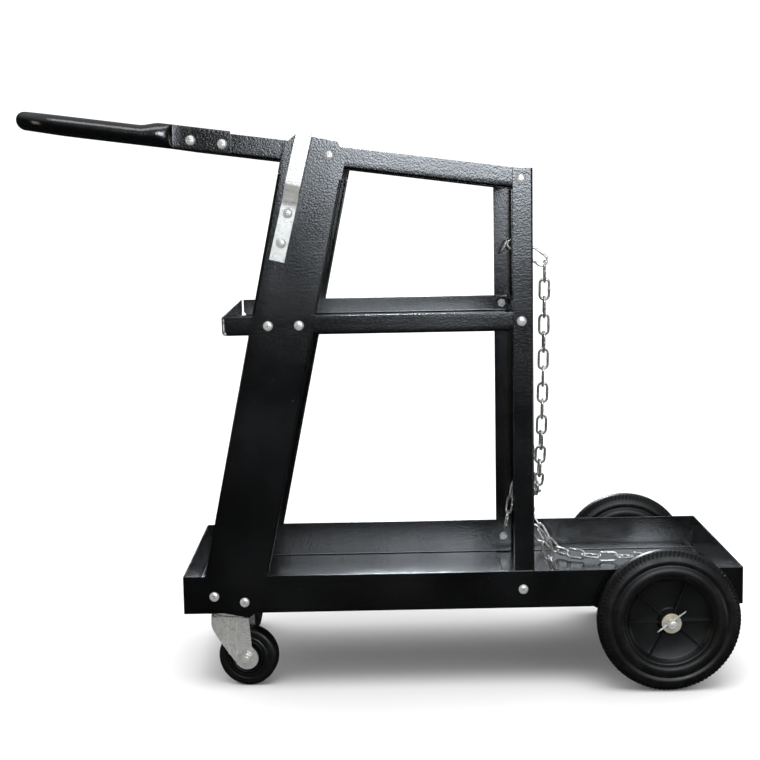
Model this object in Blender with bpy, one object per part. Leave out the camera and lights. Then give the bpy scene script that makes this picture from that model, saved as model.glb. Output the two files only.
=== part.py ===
"""Three-tier welding cart with a cylinder platform, two safety chains, two wheels and two casters.

World frame, metres: +X towards the cylinder platform, +Y across the cart, +Z up, floor at z = 0.
"""
import bpy
import bmesh
import numpy as np
from math import atan, cos, pi, radians, sin, tan
from mathutils import Matrix, Vector

# ---------------------------------------------------------------- driving dimensions
GAP = 0.0003
SHEET = 0.0015
BEND = 0.003
DATUM_X = 0.004

TRAY_X = (-0.2625, 0.4475)
TRAY_Z = 0.102
TRAY_HEIGHT = 0.0485
TRAY_WIDTH = 0.300
TRAY_WALL_ENDS = (0.0, 0.0019)
PLATFORM_X = (0.158, 0.4440)

SHELF_WIDTH = 0.2918
SHELF_END_X = 0.1808
MIDDLE_X = -0.204
MIDDLE_Z = 0.4555
MIDDLE_HEIGHT = 0.0235
MIDDLE_WALL_ENDS = (0.0036, 0.0010)

TOP_START_X = -0.262
TOP_SLOPE = atan(0.1352)
TOP_RIM_Z = 0.6788
TOP_HEIGHT = 0.0255
TOP_WALL_ENDS = (0.0025, 0.0010)

LEG_SHEET = 0.002
LEG_FOOT = (-0.2010, 0.1198)
LEG_LEAN = atan(0.209)
FAR_LEG_SHIFT = 0.0035
LEG_WIDTH = 0.078
LEG_ENDS = (-0.018, 0.590)
LEG_CHAMFER = 0.0135
LEG_FLANGE = 0.030
LEG_WEB_Y = TRAY_WIDTH / 2 + GAP
LEG_FLANGE_SPANS = {-1: ((0.0263, 0.3317), (0.3624, 0.5386)), 1: ((0.0426, 0.3481), (0.3787, 0.5448))}

UPRIGHT_SHEET = 0.002
UPRIGHT_X = (0.1583, 0.1833)
UPRIGHT_Z = (0.1056, 0.6562)
UPRIGHT_Y = TRAY_WIDTH / 2 - SHEET - GAP
UPRIGHT_FLANGE = 0.026
SLOT_Y = 0.1345
SLOT_SIZE = (0.0070, 0.0230)
UPPER_SLOT_Z = 0.5520
LOWER_SLOT_Z = 0.2030

TUBE_RADIUS = 0.0114
HANDLE_Y = SHELF_WIDTH / 2 + GAP + 0.0015
HANDLE_END_X = -0.4555
HANDLE_DROP = 0.0136
HANDLE_CORNER = 0.048
PLATE_SPAN = (-0.2600, -0.1860)
PLATE_HEIGHT = 0.0285
PLATE_RAISE = 0.00235
PLATE_THICKNESS = 0.003

BOLT_RADIUS = 0.003
HOLE_RADIUS = 0.0034
HEAD_RADIUS = 0.0061
HEAD_HEIGHT = 0.0030
NUT_ACROSS = 0.010
NUT_HEIGHT = 0.005

WHEEL_X = 0.3490
WHEEL_RADIUS = 0.0905
WHEEL_WIDTH = 0.034
WHEEL_Y = TRAY_WIDTH / 2 + 0.004 + WHEEL_WIDTH / 2
HUB_RADIUS = 0.0585
AXLE_RADIUS = 0.006
AXLE_END_Y = WHEEL_Y + WHEEL_WIDTH / 2 + 0.0145
PIN_OFFSET = 0.0025
BRACKET_Y = 0.118

CASTER_X = -0.2042
CASTER_Y = 0.113
CASTER_TRAIL = 0.0203
CASTER_RADIUS = 0.0382
CASTER_WIDTH = 0.024
CASTER_TURNS = {"near": radians(-8), "far": radians(82)}

LINK_PITCH = 0.0229
LINK_WIRE = 0.0017
LINK_HALF_WIDTH = 0.0075
CHAIN_X = 0.1990
UPPER_CHAIN_Z = 0.5395
CHAIN_DROP_Z = 0.2220

# ---------------------------------------------------------------- materials


def material(name, colour, roughness, metallic):
    made = bpy.data.materials.new(name)
    made.use_nodes = True
    shader = made.node_tree.nodes["Principled BSDF"]
    shader.inputs["Base Color"].default_value = (*colour, 1.0)
    shader.inputs["Roughness"].default_value = roughness
    shader.inputs["Metallic"].default_value = metallic
    return made


def clear_scene():
    for item in list(bpy.data.objects):
        bpy.data.objects.remove(item)


# ---------------------------------------------------------------- mesh helpers


def finish(name, mesh_data, surface, smooth=False, flip_check=True, origin=(0, 0, 0)):
    """Turn a bmesh into a named object with outward faces and its origin at the given point."""
    bmesh.ops.remove_doubles(mesh_data, verts=mesh_data.verts, dist=1e-6)
    if flip_check:
        bmesh.ops.recalc_face_normals(mesh_data, faces=mesh_data.faces)
    bmesh.ops.translate(mesh_data, verts=mesh_data.verts, vec=-Vector(origin))
    mesh = bpy.data.meshes.new(name)
    mesh_data.to_mesh(mesh)
    mesh_data.free()
    made = bpy.data.objects.new(name, mesh)
    made.location = Vector(origin) + Vector((DATUM_X, 0, 0))
    bpy.context.scene.collection.objects.link(made)
    made.data.materials.append(surface)
    for face in made.data.polygons:
        face.use_smooth = smooth
    return made


def smooth_by_angle(made, degrees=35):
    made.data.set_sharp_from_angle(angle=radians(degrees))


def prism(outline, low, high, place):
    """Closed prism from a flat outline; place(u, v, w) gives each corner's position."""
    data = bmesh.new()
    bottom = [data.verts.new(place(u, v, low)) for u, v in outline]
    top = [data.verts.new(place(u, v, high)) for u, v in outline]
    data.faces.new(bottom)
    data.faces.new(list(reversed(top)))
    count = len(outline)
    for index in range(count):
        after = (index + 1) % count
        data.faces.new((bottom[index], top[index], top[after], bottom[after]))
    return data


def along_y(u, v, w):
    return (u, w, v)


def along_z(u, v, w):
    return (u, v, w)


def along_x(u, v, w):
    return (w, u, v)


def arc(centre, radius, start, end, steps):
    """Points on an arc, angles in degrees."""
    angles = np.radians(np.linspace(start, end, steps + 1))
    return [(centre[0] + radius * cos(a), centre[1] + radius * sin(a)) for a in angles]


def box_outline(low, high):
    return [(low[0], low[1]), (high[0], low[1]), (high[0], high[1]), (low[0], high[1])]


def lathe(profile, steps, place):
    """Closed ring or solid of revolution. profile holds (radius, height) pairs."""
    data = bmesh.new()
    rings = []
    for radius, height in profile:
        if radius == 0:
            rings.append([data.verts.new(place(0, 0, height))])
            continue
        ring = []
        for index in range(steps):
            angle = 2 * pi * index / steps
            ring.append(data.verts.new(place(radius * cos(angle), radius * sin(angle), height)))
        rings.append(ring)
    closed = profile[0][0] != 0
    last = len(rings) if closed else len(rings) - 1
    for index in range(last):
        join_rings(data, rings[index], rings[(index + 1) % len(rings)])
    return data


def join_rings(data, first, second):
    if len(first) == 1 and len(second) == 1:
        return
    count = max(len(first), len(second))
    for index in range(count):
        after = (index + 1) % count
        if len(first) == 1:
            data.faces.new((first[0], second[index], second[after]))
        elif len(second) == 1:
            data.faces.new((first[index], second[0], first[after]))
        else:
            data.faces.new((first[index], second[index], second[after], first[after]))


def loft(rings):
    """Skin closed rings of equal length, with both ends capped."""
    data = bmesh.new()
    rows = [[data.verts.new(point) for point in ring] for ring in rings]
    for first, second in zip(rows, rows[1:]):
        join_rings(data, first, second)
    data.faces.new(list(reversed(rows[0])))
    data.faces.new(rows[-1])
    return data


def cutter(name, data):
    made = finish(name, data, MATERIALS["zinc"])
    made.hide_render = True
    made.display_type = "WIRE"
    return made


def combine(target, tool, operation):
    modifier = target.modifiers.new(tool.name, "BOOLEAN")
    modifier.object = tool
    modifier.operation = operation
    modifier.solver = "EXACT"


def drill(target, points, radius=HOLE_RADIUS, reach=0.02, steps=8):
    """Round holes along Y through a wall, one cutter per hole."""
    for index, (x, y, z) in enumerate(points):
        data = lathe([(0, -reach), (radius, -reach), (radius, reach), (0, reach)], steps,
                     lambda a, b, h, x=x, y=y, z=z: (x + a, y + h, z + b))
        combine(target, cutter(f"{target.name}_hole_{index}", data), "DIFFERENCE")


def thicken(made, thickness, side):
    modifier = made.modifiers.new("sheet", "SOLIDIFY")
    modifier.thickness = thickness
    modifier.offset = side
    modifier.use_even_offset = True


# ---------------------------------------------------------------- trays


def folded_tray_surface(length, width, height, wall_ends, lapped):
    """Outer surface of a folded tray: floor at height 0, four walls and a slit at each corner.

    wall_ends holds how far the side walls and the end walls stop short of the corners. In a lapped tray the
    bends of the side walls run on past the end walls and close the corners.
    """
    corner = 0.0006 if lapped else 0.0035
    data = bmesh.new()
    cache = {}

    def vertex(x, y, z):
        key = (round(x, 7), round(y, 7), round(z, 7))
        if key not in cache:
            cache[key] = data.verts.new((x, y, z))
        return cache[key]

    inner_x = (BEND, length - BEND)
    inner_y = (-width / 2 + BEND, width / 2 - BEND)
    near_x = (BEND + corner, length - BEND - corner)
    near_y = (inner_y[0] + corner, inner_y[1] - corner)
    rim = [(near_x[0], inner_y[0]), (near_x[1], inner_y[0]), (inner_x[1], inner_y[0]),
           (inner_x[1], near_y[0]), (inner_x[1], near_y[1]), (inner_x[1], inner_y[1]),
           (near_x[1], inner_y[1]), (near_x[0], inner_y[1]), (inner_x[0], inner_y[1]),
           (inner_x[0], near_y[1]), (inner_x[0], near_y[0]), (inner_x[0], inner_y[0])]
    data.faces.new([vertex(x, y, 0) for x, y in rim])
    fold = [(BEND * sin(a), BEND * (1 - cos(a))) for a in np.linspace(0, pi / 2, 4)]
    shoulder = BEND + (0.0006 if lapped else 0.003)
    long_ends = (wall_ends[0], length - wall_ends[0])
    cross_ends = (-width / 2 + wall_ends[1], width / 2 - wall_ends[1])

    def wall(ends, relief, place, marks=()):
        """Three bend strips, then a wall; marks are floor corners on the first bend line of a strip that runs on."""
        stops = ends if marks else relief
        for index, ((out, up), (out_2, up_2)) in enumerate(zip(fold, fold[1:])):
            low = [stops[0], *(marks if index == 0 else ()), stops[1]]
            data.faces.new([vertex(*place(along, out, up)) for along in low]
                           + [vertex(*place(stops[1], out_2, up_2)), vertex(*place(stops[0], out_2, up_2))])
        outline = [(stops[0], BEND), (stops[1], BEND), (ends[1], shoulder), (ends[1], height), (ends[0], height),
                   (ends[0], shoulder)]
        data.faces.new([vertex(*place(along, BEND, up)) for along, up in outline])

    for sign, base in ((-1, inner_y[0]), (1, inner_y[1])):
        marks = (inner_x[0], near_x[0], near_x[1], inner_x[1]) if lapped else ()
        wall(long_ends, near_x, lambda along, out, up, s=sign, b=base: (along, b + s * out, up), marks)
    for sign, base in ((-1, inner_x[0]), (1, inner_x[1])):
        wall(cross_ends, near_y, lambda along, out, up, s=sign, b=base: (b + s * out, along, up))
    bmesh.ops.recalc_face_normals(data, faces=data.faces)
    floor = max(data.faces, key=lambda face: face.calc_area())
    if floor.normal.z > 0:
        bmesh.ops.reverse_faces(data, faces=data.faces)
    return data


def tray(name, matrix, length, width, height, wall_ends, lapped=False):
    data = folded_tray_surface(length, width, height, wall_ends, lapped)
    bmesh.ops.transform(data, matrix=matrix, verts=data.verts)
    made = finish(name, data, MATERIALS["black_coat"], flip_check=False)
    thicken(made, SHEET, -1)
    return made


def slope_matrix():
    """Places top-shelf coordinates: x along the slope, z square to it, rim at the given height."""
    corner_z = TOP_RIM_Z - tan(TOP_SLOPE) * TOP_START_X
    turn = Matrix.Rotation(TOP_SLOPE, 4, "Y")
    shift = Matrix.Translation(Vector((TOP_START_X, 0, corner_z)))
    return shift @ turn @ Matrix.Translation(Vector((0, 0, -TOP_HEIGHT)))


def axle_brackets(made):
    """Two tabs welded under the tray floor carry the axle."""
    for side in (-1, 1):
        outline = [(WHEEL_X - 0.024, TRAY_Z + 0.0008), (WHEEL_X - 0.011, 0.0785), (WHEEL_X + 0.011, 0.0785),
                   (WHEEL_X + 0.024, TRAY_Z + 0.0008)]
        middle = side * BRACKET_Y
        tab = finish(f"bracket_{side}", prism(outline, middle - 0.0015, middle + 0.0015, along_y),
                     MATERIALS["black_coat"])
        tab.hide_render = True
        tab.display_type = "WIRE"
        combine(made, tab, "UNION")
        drill(tab, [(WHEEL_X, middle, WHEEL_RADIUS)], AXLE_RADIUS + GAP, 0.006, 20)


def build_trays():
    lower = tray("lower_tray", Matrix.Translation(Vector((TRAY_X[0], 0, TRAY_Z))),
                 TRAY_X[1] - TRAY_X[0], TRAY_WIDTH, TRAY_HEIGHT, TRAY_WALL_ENDS, lapped=True)
    axle_brackets(lower)
    drill(lower, [(x, side * (TRAY_WIDTH / 2), z) for side in (-1, 1) for x, z in TRAY_BOLTS])
    middle = tray("middle_shelf", Matrix.Translation(Vector((MIDDLE_X, 0, MIDDLE_Z))),
                  SHELF_END_X - MIDDLE_X, SHELF_WIDTH, MIDDLE_HEIGHT, MIDDLE_WALL_ENDS)
    drill(middle, [(x, side * (SHELF_WIDTH / 2), z) for side in (-1, 1) for x, z in MIDDLE_BOLTS])
    top_length = (SHELF_END_X - TOP_START_X) / cos(TOP_SLOPE) - 0.0035
    top = tray("top_shelf", slope_matrix(), top_length, SHELF_WIDTH, TOP_HEIGHT, TOP_WALL_ENDS)
    drill(top, [(x, side * (SHELF_WIDTH / 2), z) for side in (-1, 1) for x, z in TOP_BOLTS])
    floor_z = TRAY_Z + SHEET + GAP
    half = TRAY_WIDTH / 2 - BEND - 0.0015
    outline = box_outline((PLATFORM_X[0], -half + 0.030), (PLATFORM_X[1], half - 0.030))
    plate = finish("platform_plate", prism(outline, floor_z, floor_z + SHEET, along_z), MATERIALS["black_coat"])
    return lower, middle, top, plate


# ---------------------------------------------------------------- legs and uprights


def leg_point(along, across, outward, side):
    """World position of a point on a leg: along its length, across its web, outward from the web."""
    x = LEG_FOOT[0] + along * sin(LEG_LEAN) + across * cos(LEG_LEAN) + (FAR_LEG_SHIFT if side > 0 else 0)
    z = LEG_FOOT[1] + along * cos(LEG_LEAN) - across * sin(LEG_LEAN)
    return (x, side * (LEG_WEB_Y + LEG_SHEET + outward), z)


def leg_surface(side):
    """Outer surface of the leg channel: chamfered web and flange strips turned inward."""
    data = bmesh.new()
    half = LEG_WIDTH / 2
    low, high = LEG_ENDS
    cut = LEG_CHAMFER
    flat = half - BEND
    left = [(low + cut, -flat), (low, -half + cut), (low, half - cut), (low + cut, flat)]
    rising = [(s, flat) for span in LEG_FLANGE_SPANS[1] for s in span]
    crown = [(high - cut, flat), (high, half - cut), (high, -half + cut), (high - cut, -flat)]
    falling = [(s, -flat) for span in reversed(LEG_FLANGE_SPANS[-1]) for s in reversed(span)]
    outline = left + rising + crown + falling
    web = {point: data.verts.new(leg_point(*point, 0, side)) for point in outline}
    data.faces.new([web[point] for point in outline])
    fold = [(BEND * sin(a), BEND * (cos(a) - 1)) for a in np.linspace(0, pi / 2, 4)]
    fold.append((BEND, -LEG_FLANGE))
    for edge in (-1, 1):
        spans = LEG_FLANGE_SPANS[edge]
        for start, end in spans:
            rows = [[web[(start, edge * flat)], web[(end, edge * flat)]]]
            for across, inward in fold[1:]:
                rows.append([data.verts.new(leg_point(s, edge * (flat + across), inward, side))
                             for s in (start, end)])
            for first, second in zip(rows, rows[1:]):
                data.faces.new((first[0], first[1], second[1], second[0]))
        for start, end in ((LEG_ENDS[0] + cut, spans[0][0]), (spans[0][1], spans[1][0]),
                           (spans[1][1], LEG_ENDS[1] - cut)):
            low_in = web[min(web, key=lambda p: abs(p[0] - start) + abs(p[1] - edge * flat))]
            high_in = web[min(web, key=lambda p: abs(p[0] - end) + abs(p[1] - edge * flat))]
            low_out = data.verts.new(leg_point(start + 0.0008, edge * half, 0, side))
            high_out = data.verts.new(leg_point(end - 0.0008, edge * half, 0, side))
            data.faces.new((low_in, high_in, high_out, low_out))
    bmesh.ops.recalc_face_normals(data, faces=data.faces)
    web_face = max(data.faces, key=lambda face: face.calc_area())
    if web_face.normal.y * side < 0:
        bmesh.ops.reverse_faces(data, faces=data.faces)
    return data


def build_leg(name, side):
    made = finish(name, leg_surface(side), MATERIALS["black_coat"], flip_check=False)
    thicken(made, LEG_SHEET, -1)
    middle = side * (LEG_WEB_Y + LEG_SHEET / 2)
    points = [(x, middle, z) for x, z in LEG_BOLTS]
    if side < 0:
        points += [(x, middle, z) for x, z in HOOK_BOLTS]
    drill(made, points)
    return made


def build_upright(name, side):
    """Rolled angle: side web outside the shelves, flange across the back with a slot for each chain."""
    low, high = UPRIGHT_X
    outer = side * UPRIGHT_Y
    inner = side * (UPRIGHT_Y - UPRIGHT_SHEET)
    tip = side * (UPRIGHT_Y - UPRIGHT_FLANGE)
    turn = [(high - BEND + BEND * sin(a), outer - side * BEND * (1 - cos(a))) for a in np.linspace(0, pi / 2, 4)]
    outline = [(low, outer)] + turn + [(high, tip), (high - UPRIGHT_SHEET, tip)]
    inside = BEND - UPRIGHT_SHEET
    bend_x = high - UPRIGHT_SHEET - inside
    outline += [(high - UPRIGHT_SHEET, inner - side * inside), (bend_x, inner), (low, inner)]
    made = finish(name, prism(outline, *UPRIGHT_Z, along_z), MATERIALS["black_coat"])
    drill(made, [(x, side * (UPRIGHT_Y - UPRIGHT_SHEET / 2), z) for x, z in UPRIGHT_BOLTS], reach=0.006)
    for label, z in (("upper", UPPER_SLOT_Z), ("lower", LOWER_SLOT_Z)):
        half_y, half_z = SLOT_SIZE[0] / 2, SLOT_SIZE[1] / 2
        reach = half_z - half_y
        rounded = (arc((side * SLOT_Y, z + reach), half_y, 0, 180, 5)
                   + arc((side * SLOT_Y, z - reach), half_y, 180, 360, 5))
        data = prism(rounded, high - 0.006, high + 0.004, along_x)
        combine(made, cutter(f"{name}_{label}_slot", data), "DIFFERENCE")
    return made


# ---------------------------------------------------------------- handle and hook


def on_slope(x):
    """Height of the handle's centre line above a given x."""
    return TOP_RIM_Z - tan(TOP_SLOPE) * x - HANDLE_DROP


def section(flat, inner_flat, count=12):
    """Handle section in (across, up): 0 is the round tube, 1 is the flattened end; the inner side flattens first."""
    points = []
    for index in range(count):
        angle = 2 * pi * (index + 0.5) / count
        round_point = Vector((TUBE_RADIUS * cos(angle), TUBE_RADIUS * sin(angle)))
        up = PLATE_RAISE + max(-1.0, min(1.0, 1.12 * sin(angle))) * PLATE_HEIGHT / 2
        side = PLATE_THICKNESS / 2 * (1 if cos(angle) > 0 else -1)
        point = round_point.lerp(Vector((side, up)), flat)
        if side < 0:
            point.x = round_point.x + (side - round_point.x) * inner_flat
        points.append(point)
    return points


def handle_path():
    """Centre line stations of one half of the handle: position x, y, direction and flatness outside and inside."""
    stations = []
    start, end = PLATE_SPAN
    for x, flat, inner_flat in ((end, 1.0, 1.0), (start + 0.001, 1.0, 1.0), (start - 0.001, 0.80, 1.0),
                                (start - 0.005, 0.42, 1.0), (start - 0.007, 0.32, 1.0), (start - 0.013, 0.15, 0.4),
                                (start - 0.023, 0.0, 0.0)):
        stations.append((x, HANDLE_Y, 0.0, flat, inner_flat))
    centre_x = HANDLE_END_X + TUBE_RADIUS + HANDLE_CORNER
    centre_y = HANDLE_Y - HANDLE_CORNER
    for angle in np.linspace(0, 90, 6):
        turn = radians(angle)
        stations.append((centre_x - HANDLE_CORNER * sin(turn), centre_y + HANDLE_CORNER * cos(turn), turn, 0.0,
                         0.0))
    return stations


def build_handle():
    rings = []
    near = handle_path()
    far = [(x, -y, pi - turn, flat, inner_flat) for x, y, turn, flat, inner_flat in reversed(near)]
    for x, y, turn, flat, inner_flat in near + far:
        sideways = Vector((-sin(turn), cos(turn), 0))
        ring = []
        for across, up in section(flat, inner_flat):
            flat_point = Vector((x, y, 0)) + sideways * across
            ring.append((flat_point.x, flat_point.y, on_slope(flat_point.x) + up))
        rings.append(ring)
    made = finish("handle", loft(rings), MATERIALS["black_coat"], smooth=True)
    smooth_by_angle(made)
    drill(made, [(x, side * HANDLE_Y, z) for side in (-1, 1) for x, z in HANDLE_BOLTS], reach=0.006)
    return made


def build_hook():
    """Zinc strip on the near leg: jogs outward above its bolts and ends in a round tip."""
    lean = atan(0.25)
    start = (-0.1330, 0.5480)
    half = 0.0095
    profile = [(0.0, 0.0), (0.072, 0.0), (0.0775, 0.0022), (0.0815, 0.0070), (0.0850, 0.0170), (0.0890, 0.0218),
               (0.0945, 0.0240), (0.1565, 0.0240)]
    base = LEG_WEB_Y + LEG_SHEET + GAP

    def place(along, across, outward):
        x = start[0] + along * sin(lean) + across * cos(lean)
        z = start[1] + along * cos(lean) - across * sin(lean)
        return (x, -(base + outward), z)

    data = bmesh.new()
    rows = [[data.verts.new(place(s, a, out)) for a in (-half, half)] for s, out in profile]
    for first, second in zip(rows, rows[1:]):
        data.faces.new((first[0], first[1], second[1], second[0]))
    tip = [data.verts.new(place(profile[-1][0] + half * sin(a), half * cos(a), profile[-1][1]))
           for a in np.linspace(0, pi, 9)[1:-1]]
    data.faces.new([rows[-1][0], rows[-1][1]] + tip)
    bmesh.ops.recalc_face_normals(data, faces=data.faces)
    largest = max(data.faces, key=lambda face: face.calc_area())
    if largest.normal.y < 0:
        bmesh.ops.reverse_faces(data, faces=data.faces)
    made = finish("torch_hook", data, MATERIALS["zinc"], flip_check=False)
    thicken(made, 0.003, -1)
    drill(made, [(x, -(base + 0.0015), z) for x, z in HOOK_BOLTS], reach=0.004)
    return made


# ---------------------------------------------------------------- fasteners


def leg_xz(along, across):
    x, _, z = leg_point(along, across, 0, -1)
    return (x, z)


LEG_LOW_BOLTS = [leg_xz(0.001, -0.0228), leg_xz(0.001, 0.0162)]
LEG_MID_BOLTS = [(-0.1459, 0.4680), (-0.1076, 0.4680)]
LEG_TOP_BOLTS = [leg_xz(0.5715, -0.0186), leg_xz(0.5715, 0.0186)]
LEG_BOLTS = LEG_LOW_BOLTS + LEG_MID_BOLTS + LEG_TOP_BOLTS
HOOK_BOLTS = [(-0.1270, 0.5700), (-0.1179, 0.6062)]
UPRIGHT_BOLTS = [(0.1685, 0.1270), (0.1685, 0.4680), (0.1685, 0.6432)]
HANDLE_BOLTS = [(-0.2345, on_slope(-0.2345)), (-0.1960, on_slope(-0.1960))]
TRAY_BOLTS = LEG_LOW_BOLTS + UPRIGHT_BOLTS[:1]
MIDDLE_BOLTS = LEG_MID_BOLTS + UPRIGHT_BOLTS[1:2]
TOP_BOLTS = LEG_TOP_BOLTS + UPRIGHT_BOLTS[2:] + HANDLE_BOLTS


def build_bolt(name, x, z, side, head_y, nut_y):
    """Truss-head bolt and its nut; head_y and nut_y are the distances of their seats from the middle."""
    across = NUT_ACROSS / 2
    grip = head_y - nut_y
    stations = [(0.66, HEAD_HEIGHT), (1.0, 0.0006), (1.0, 0), (None, 0), (None, -grip), ("nut", -grip),
                ("nut", -grip - NUT_HEIGHT)]
    rings = []
    for kind, height in stations:
        ring = []
        for index in range(12):
            angle = 2 * pi * index / 12
            if kind is None:
                radius = BOLT_RADIUS
            elif kind == "nut":
                radius = across / cos(pi / 6) if index % 2 == 0 else across
            else:
                radius = HEAD_RADIUS * kind
            ring.append((x + radius * cos(angle), side * (head_y + height), z + radius * sin(angle)))
        rings.append(ring)
    made = finish(name, loft(rings), MATERIALS["zinc"])
    for face in made.data.polygons:
        face.use_smooth = True
    smooth_by_angle(made, 40)
    return made


def build_bolts():
    shelf_in = SHELF_WIDTH / 2 - SHEET - GAP
    tray_in = TRAY_WIDTH / 2 - SHEET - GAP
    leg_out = LEG_WEB_Y + LEG_SHEET + GAP
    leg_in = LEG_WEB_Y - GAP
    upright_in = UPRIGHT_Y - UPRIGHT_SHEET - GAP
    plate_out = HANDLE_Y + PLATE_THICKNESS / 2 + GAP
    made = []
    for label, side in (("near", -1), ("far", 1)):
        rows = [("leg_low", LEG_LOW_BOLTS, leg_out, tray_in), ("leg_mid", LEG_MID_BOLTS, leg_out, shelf_in),
                ("leg_top", LEG_TOP_BOLTS, leg_out, shelf_in), ("handle", HANDLE_BOLTS, plate_out, shelf_in),
                ("upright_low", UPRIGHT_BOLTS[:1], TRAY_WIDTH / 2 + GAP, upright_in),
                ("upright_mid", UPRIGHT_BOLTS[1:2], UPRIGHT_Y + GAP, shelf_in),
                ("upright_top", UPRIGHT_BOLTS[2:], UPRIGHT_Y + GAP, shelf_in)]
        if side < 0:
            rows.append(("hook", HOOK_BOLTS, leg_out + 0.003 + GAP, leg_in))
        for kind, points, head_y, nut_y in rows:
            for index, (x, z) in enumerate(points):
                made.append(build_bolt(f"bolt_{kind}_{label}_{index + 1}", x, z, side, head_y, nut_y))
    return made


# ---------------------------------------------------------------- rear wheels


def wheel_place(side):
    return lambda a, b, h: (WHEEL_X + a, side * (WHEEL_Y + h), WHEEL_RADIUS + b)


def build_wheel(label, side):
    half = WHEEL_WIDTH / 2
    inner = HUB_RADIUS + GAP
    tyre_profile = [(inner, -half + 0.003), (0.064, -half), (0.0780, -half + 0.0008), (0.0868, -half + 0.0045),
                    (WHEEL_RADIUS, -half + 0.0105), (WHEEL_RADIUS, half - 0.0105), (0.0868, half - 0.0045),
                    (0.0780, half - 0.0008), (0.064, half), (inner, half - 0.003)]
    centre = (WHEEL_X, side * WHEEL_Y, WHEEL_RADIUS)
    tyre = finish(f"tyre_{label}", lathe(tyre_profile, 32, wheel_place(side)), MATERIALS["rubber"], smooth=True,
                  origin=centre)
    smooth_by_angle(tyre, 30)
    bore = AXLE_RADIUS + 0.00035
    hub_profile = [(bore, -half - 0.002), (0.0135, -half - 0.002), (0.0155, -0.006), (0.0495, -0.006),
                   (0.0535, -half + 0.004), (HUB_RADIUS, -half + 0.004), (HUB_RADIUS, half - 0.004),
                   (0.0535, half - 0.004), (0.0495, 0.006), (0.0155, 0.006), (0.0135, half + 0.0015),
                   (bore, half + 0.0015)]
    hub = finish(f"hub_{label}", lathe(hub_profile, 28, wheel_place(side)), MATERIALS["black_plastic"], smooth=True,
                 origin=centre)
    smooth_by_angle(hub, 30)
    washer_low = half + 0.0015 + GAP
    washer_profile = [(bore, washer_low), (0.012, washer_low), (0.012, washer_low + 0.0018),
                      (bore, washer_low + 0.0018)]
    finish(f"washer_{label}", lathe(washer_profile, 20, wheel_place(side)), MATERIALS["zinc"])
    pin_h = washer_low + 0.0018 + GAP + 0.0012
    turn = radians(35)

    def pin_place(a, b, h):
        beside = a + PIN_OFFSET
        return (WHEEL_X + h * cos(turn) - beside * sin(turn), side * (WHEEL_Y + pin_h + b),
                WHEEL_RADIUS + h * sin(turn) + beside * cos(turn))

    finish(f"cotter_pin_{label}", lathe([(0, -0.021), (0.0012, -0.021), (0.0012, 0.024), (0, 0.024)], 8, pin_place),
           MATERIALS["zinc"])
    return tyre, hub


def build_axle():
    profile = [(0, -AXLE_END_Y), (AXLE_RADIUS - 0.001, -AXLE_END_Y), (AXLE_RADIUS, -AXLE_END_Y + 0.001),
               (AXLE_RADIUS, AXLE_END_Y - 0.001), (AXLE_RADIUS - 0.001, AXLE_END_Y), (0, AXLE_END_Y)]
    axle = finish("axle", lathe(profile, 20, lambda a, b, h: (WHEEL_X + a, h, WHEEL_RADIUS + b)), MATERIALS["zinc"],
                  smooth=True)
    smooth_by_angle(axle, 30)
    washer_low = WHEEL_WIDTH / 2 + 0.0015 + GAP
    pin_h = WHEEL_Y + washer_low + 0.0018 + GAP + 0.0012
    turn = radians(35)
    for side in (-1, 1):
        def hole(a, b, h, side=side):
            beside = a + PIN_OFFSET
            return (WHEEL_X + h * cos(turn) - beside * sin(turn), side * pin_h + b,
                    WHEEL_RADIUS + h * sin(turn) + beside * cos(turn))
        data = lathe([(0, -0.01), (0.0016, -0.01), (0.0016, 0.01), (0, 0.01)], 8, hole)
        combine(axle, cutter(f"pin_hole_{side}", data), "DIFFERENCE")
    return axle


# ---------------------------------------------------------------- casters


def caster_place(side, turn):
    """Caster coordinates: x along the trail, y across the fork, z up from the floor."""
    matrix = Matrix.Translation(Vector((CASTER_X, side * CASTER_Y, 0))) @ Matrix.Rotation(turn, 4, "Z")
    return lambda x, y, z: matrix @ Vector((x, y, z))


def build_caster(label, side):
    turn = CASTER_TURNS[label]
    turned = caster_place(side, turn)
    square = caster_place(side, 0)
    top = TRAY_Z - GAP
    plate = finish(f"caster_plate_{label}",
                   prism(box_outline((-0.031, -0.026), (0.031, 0.026)), top - 0.0025, top, square),
                   MATERIALS["zinc"])
    race_top = top - 0.0025 - GAP
    race_profile = [(0, race_top), (0.0230, race_top), (0.0245, race_top - 0.0030),
                    (0.0220, race_top - 0.0062), (0, race_top - 0.0062)]
    race = finish(f"caster_race_{label}", lathe(race_profile, 20, turned), MATERIALS["zinc"], smooth=True)
    smooth_by_angle(race, 30)
    build_fork(label, turned, race_top - 0.0062 - GAP)
    build_caster_wheel(label, turned)
    return plate


def fork_outline(top):
    """Side view of a fork cheek in (x, z)."""
    axle = (CASTER_TRAIL, CASTER_RADIUS)
    end = arc(axle, 0.0150, 205, 395, 12)
    outline = [(0.0240, top), (-0.0205, top), (-0.0270, top - 0.0050), (-0.0272, top - 0.0130)]
    return outline + end + [(0.0272, 0.0525)]


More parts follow.
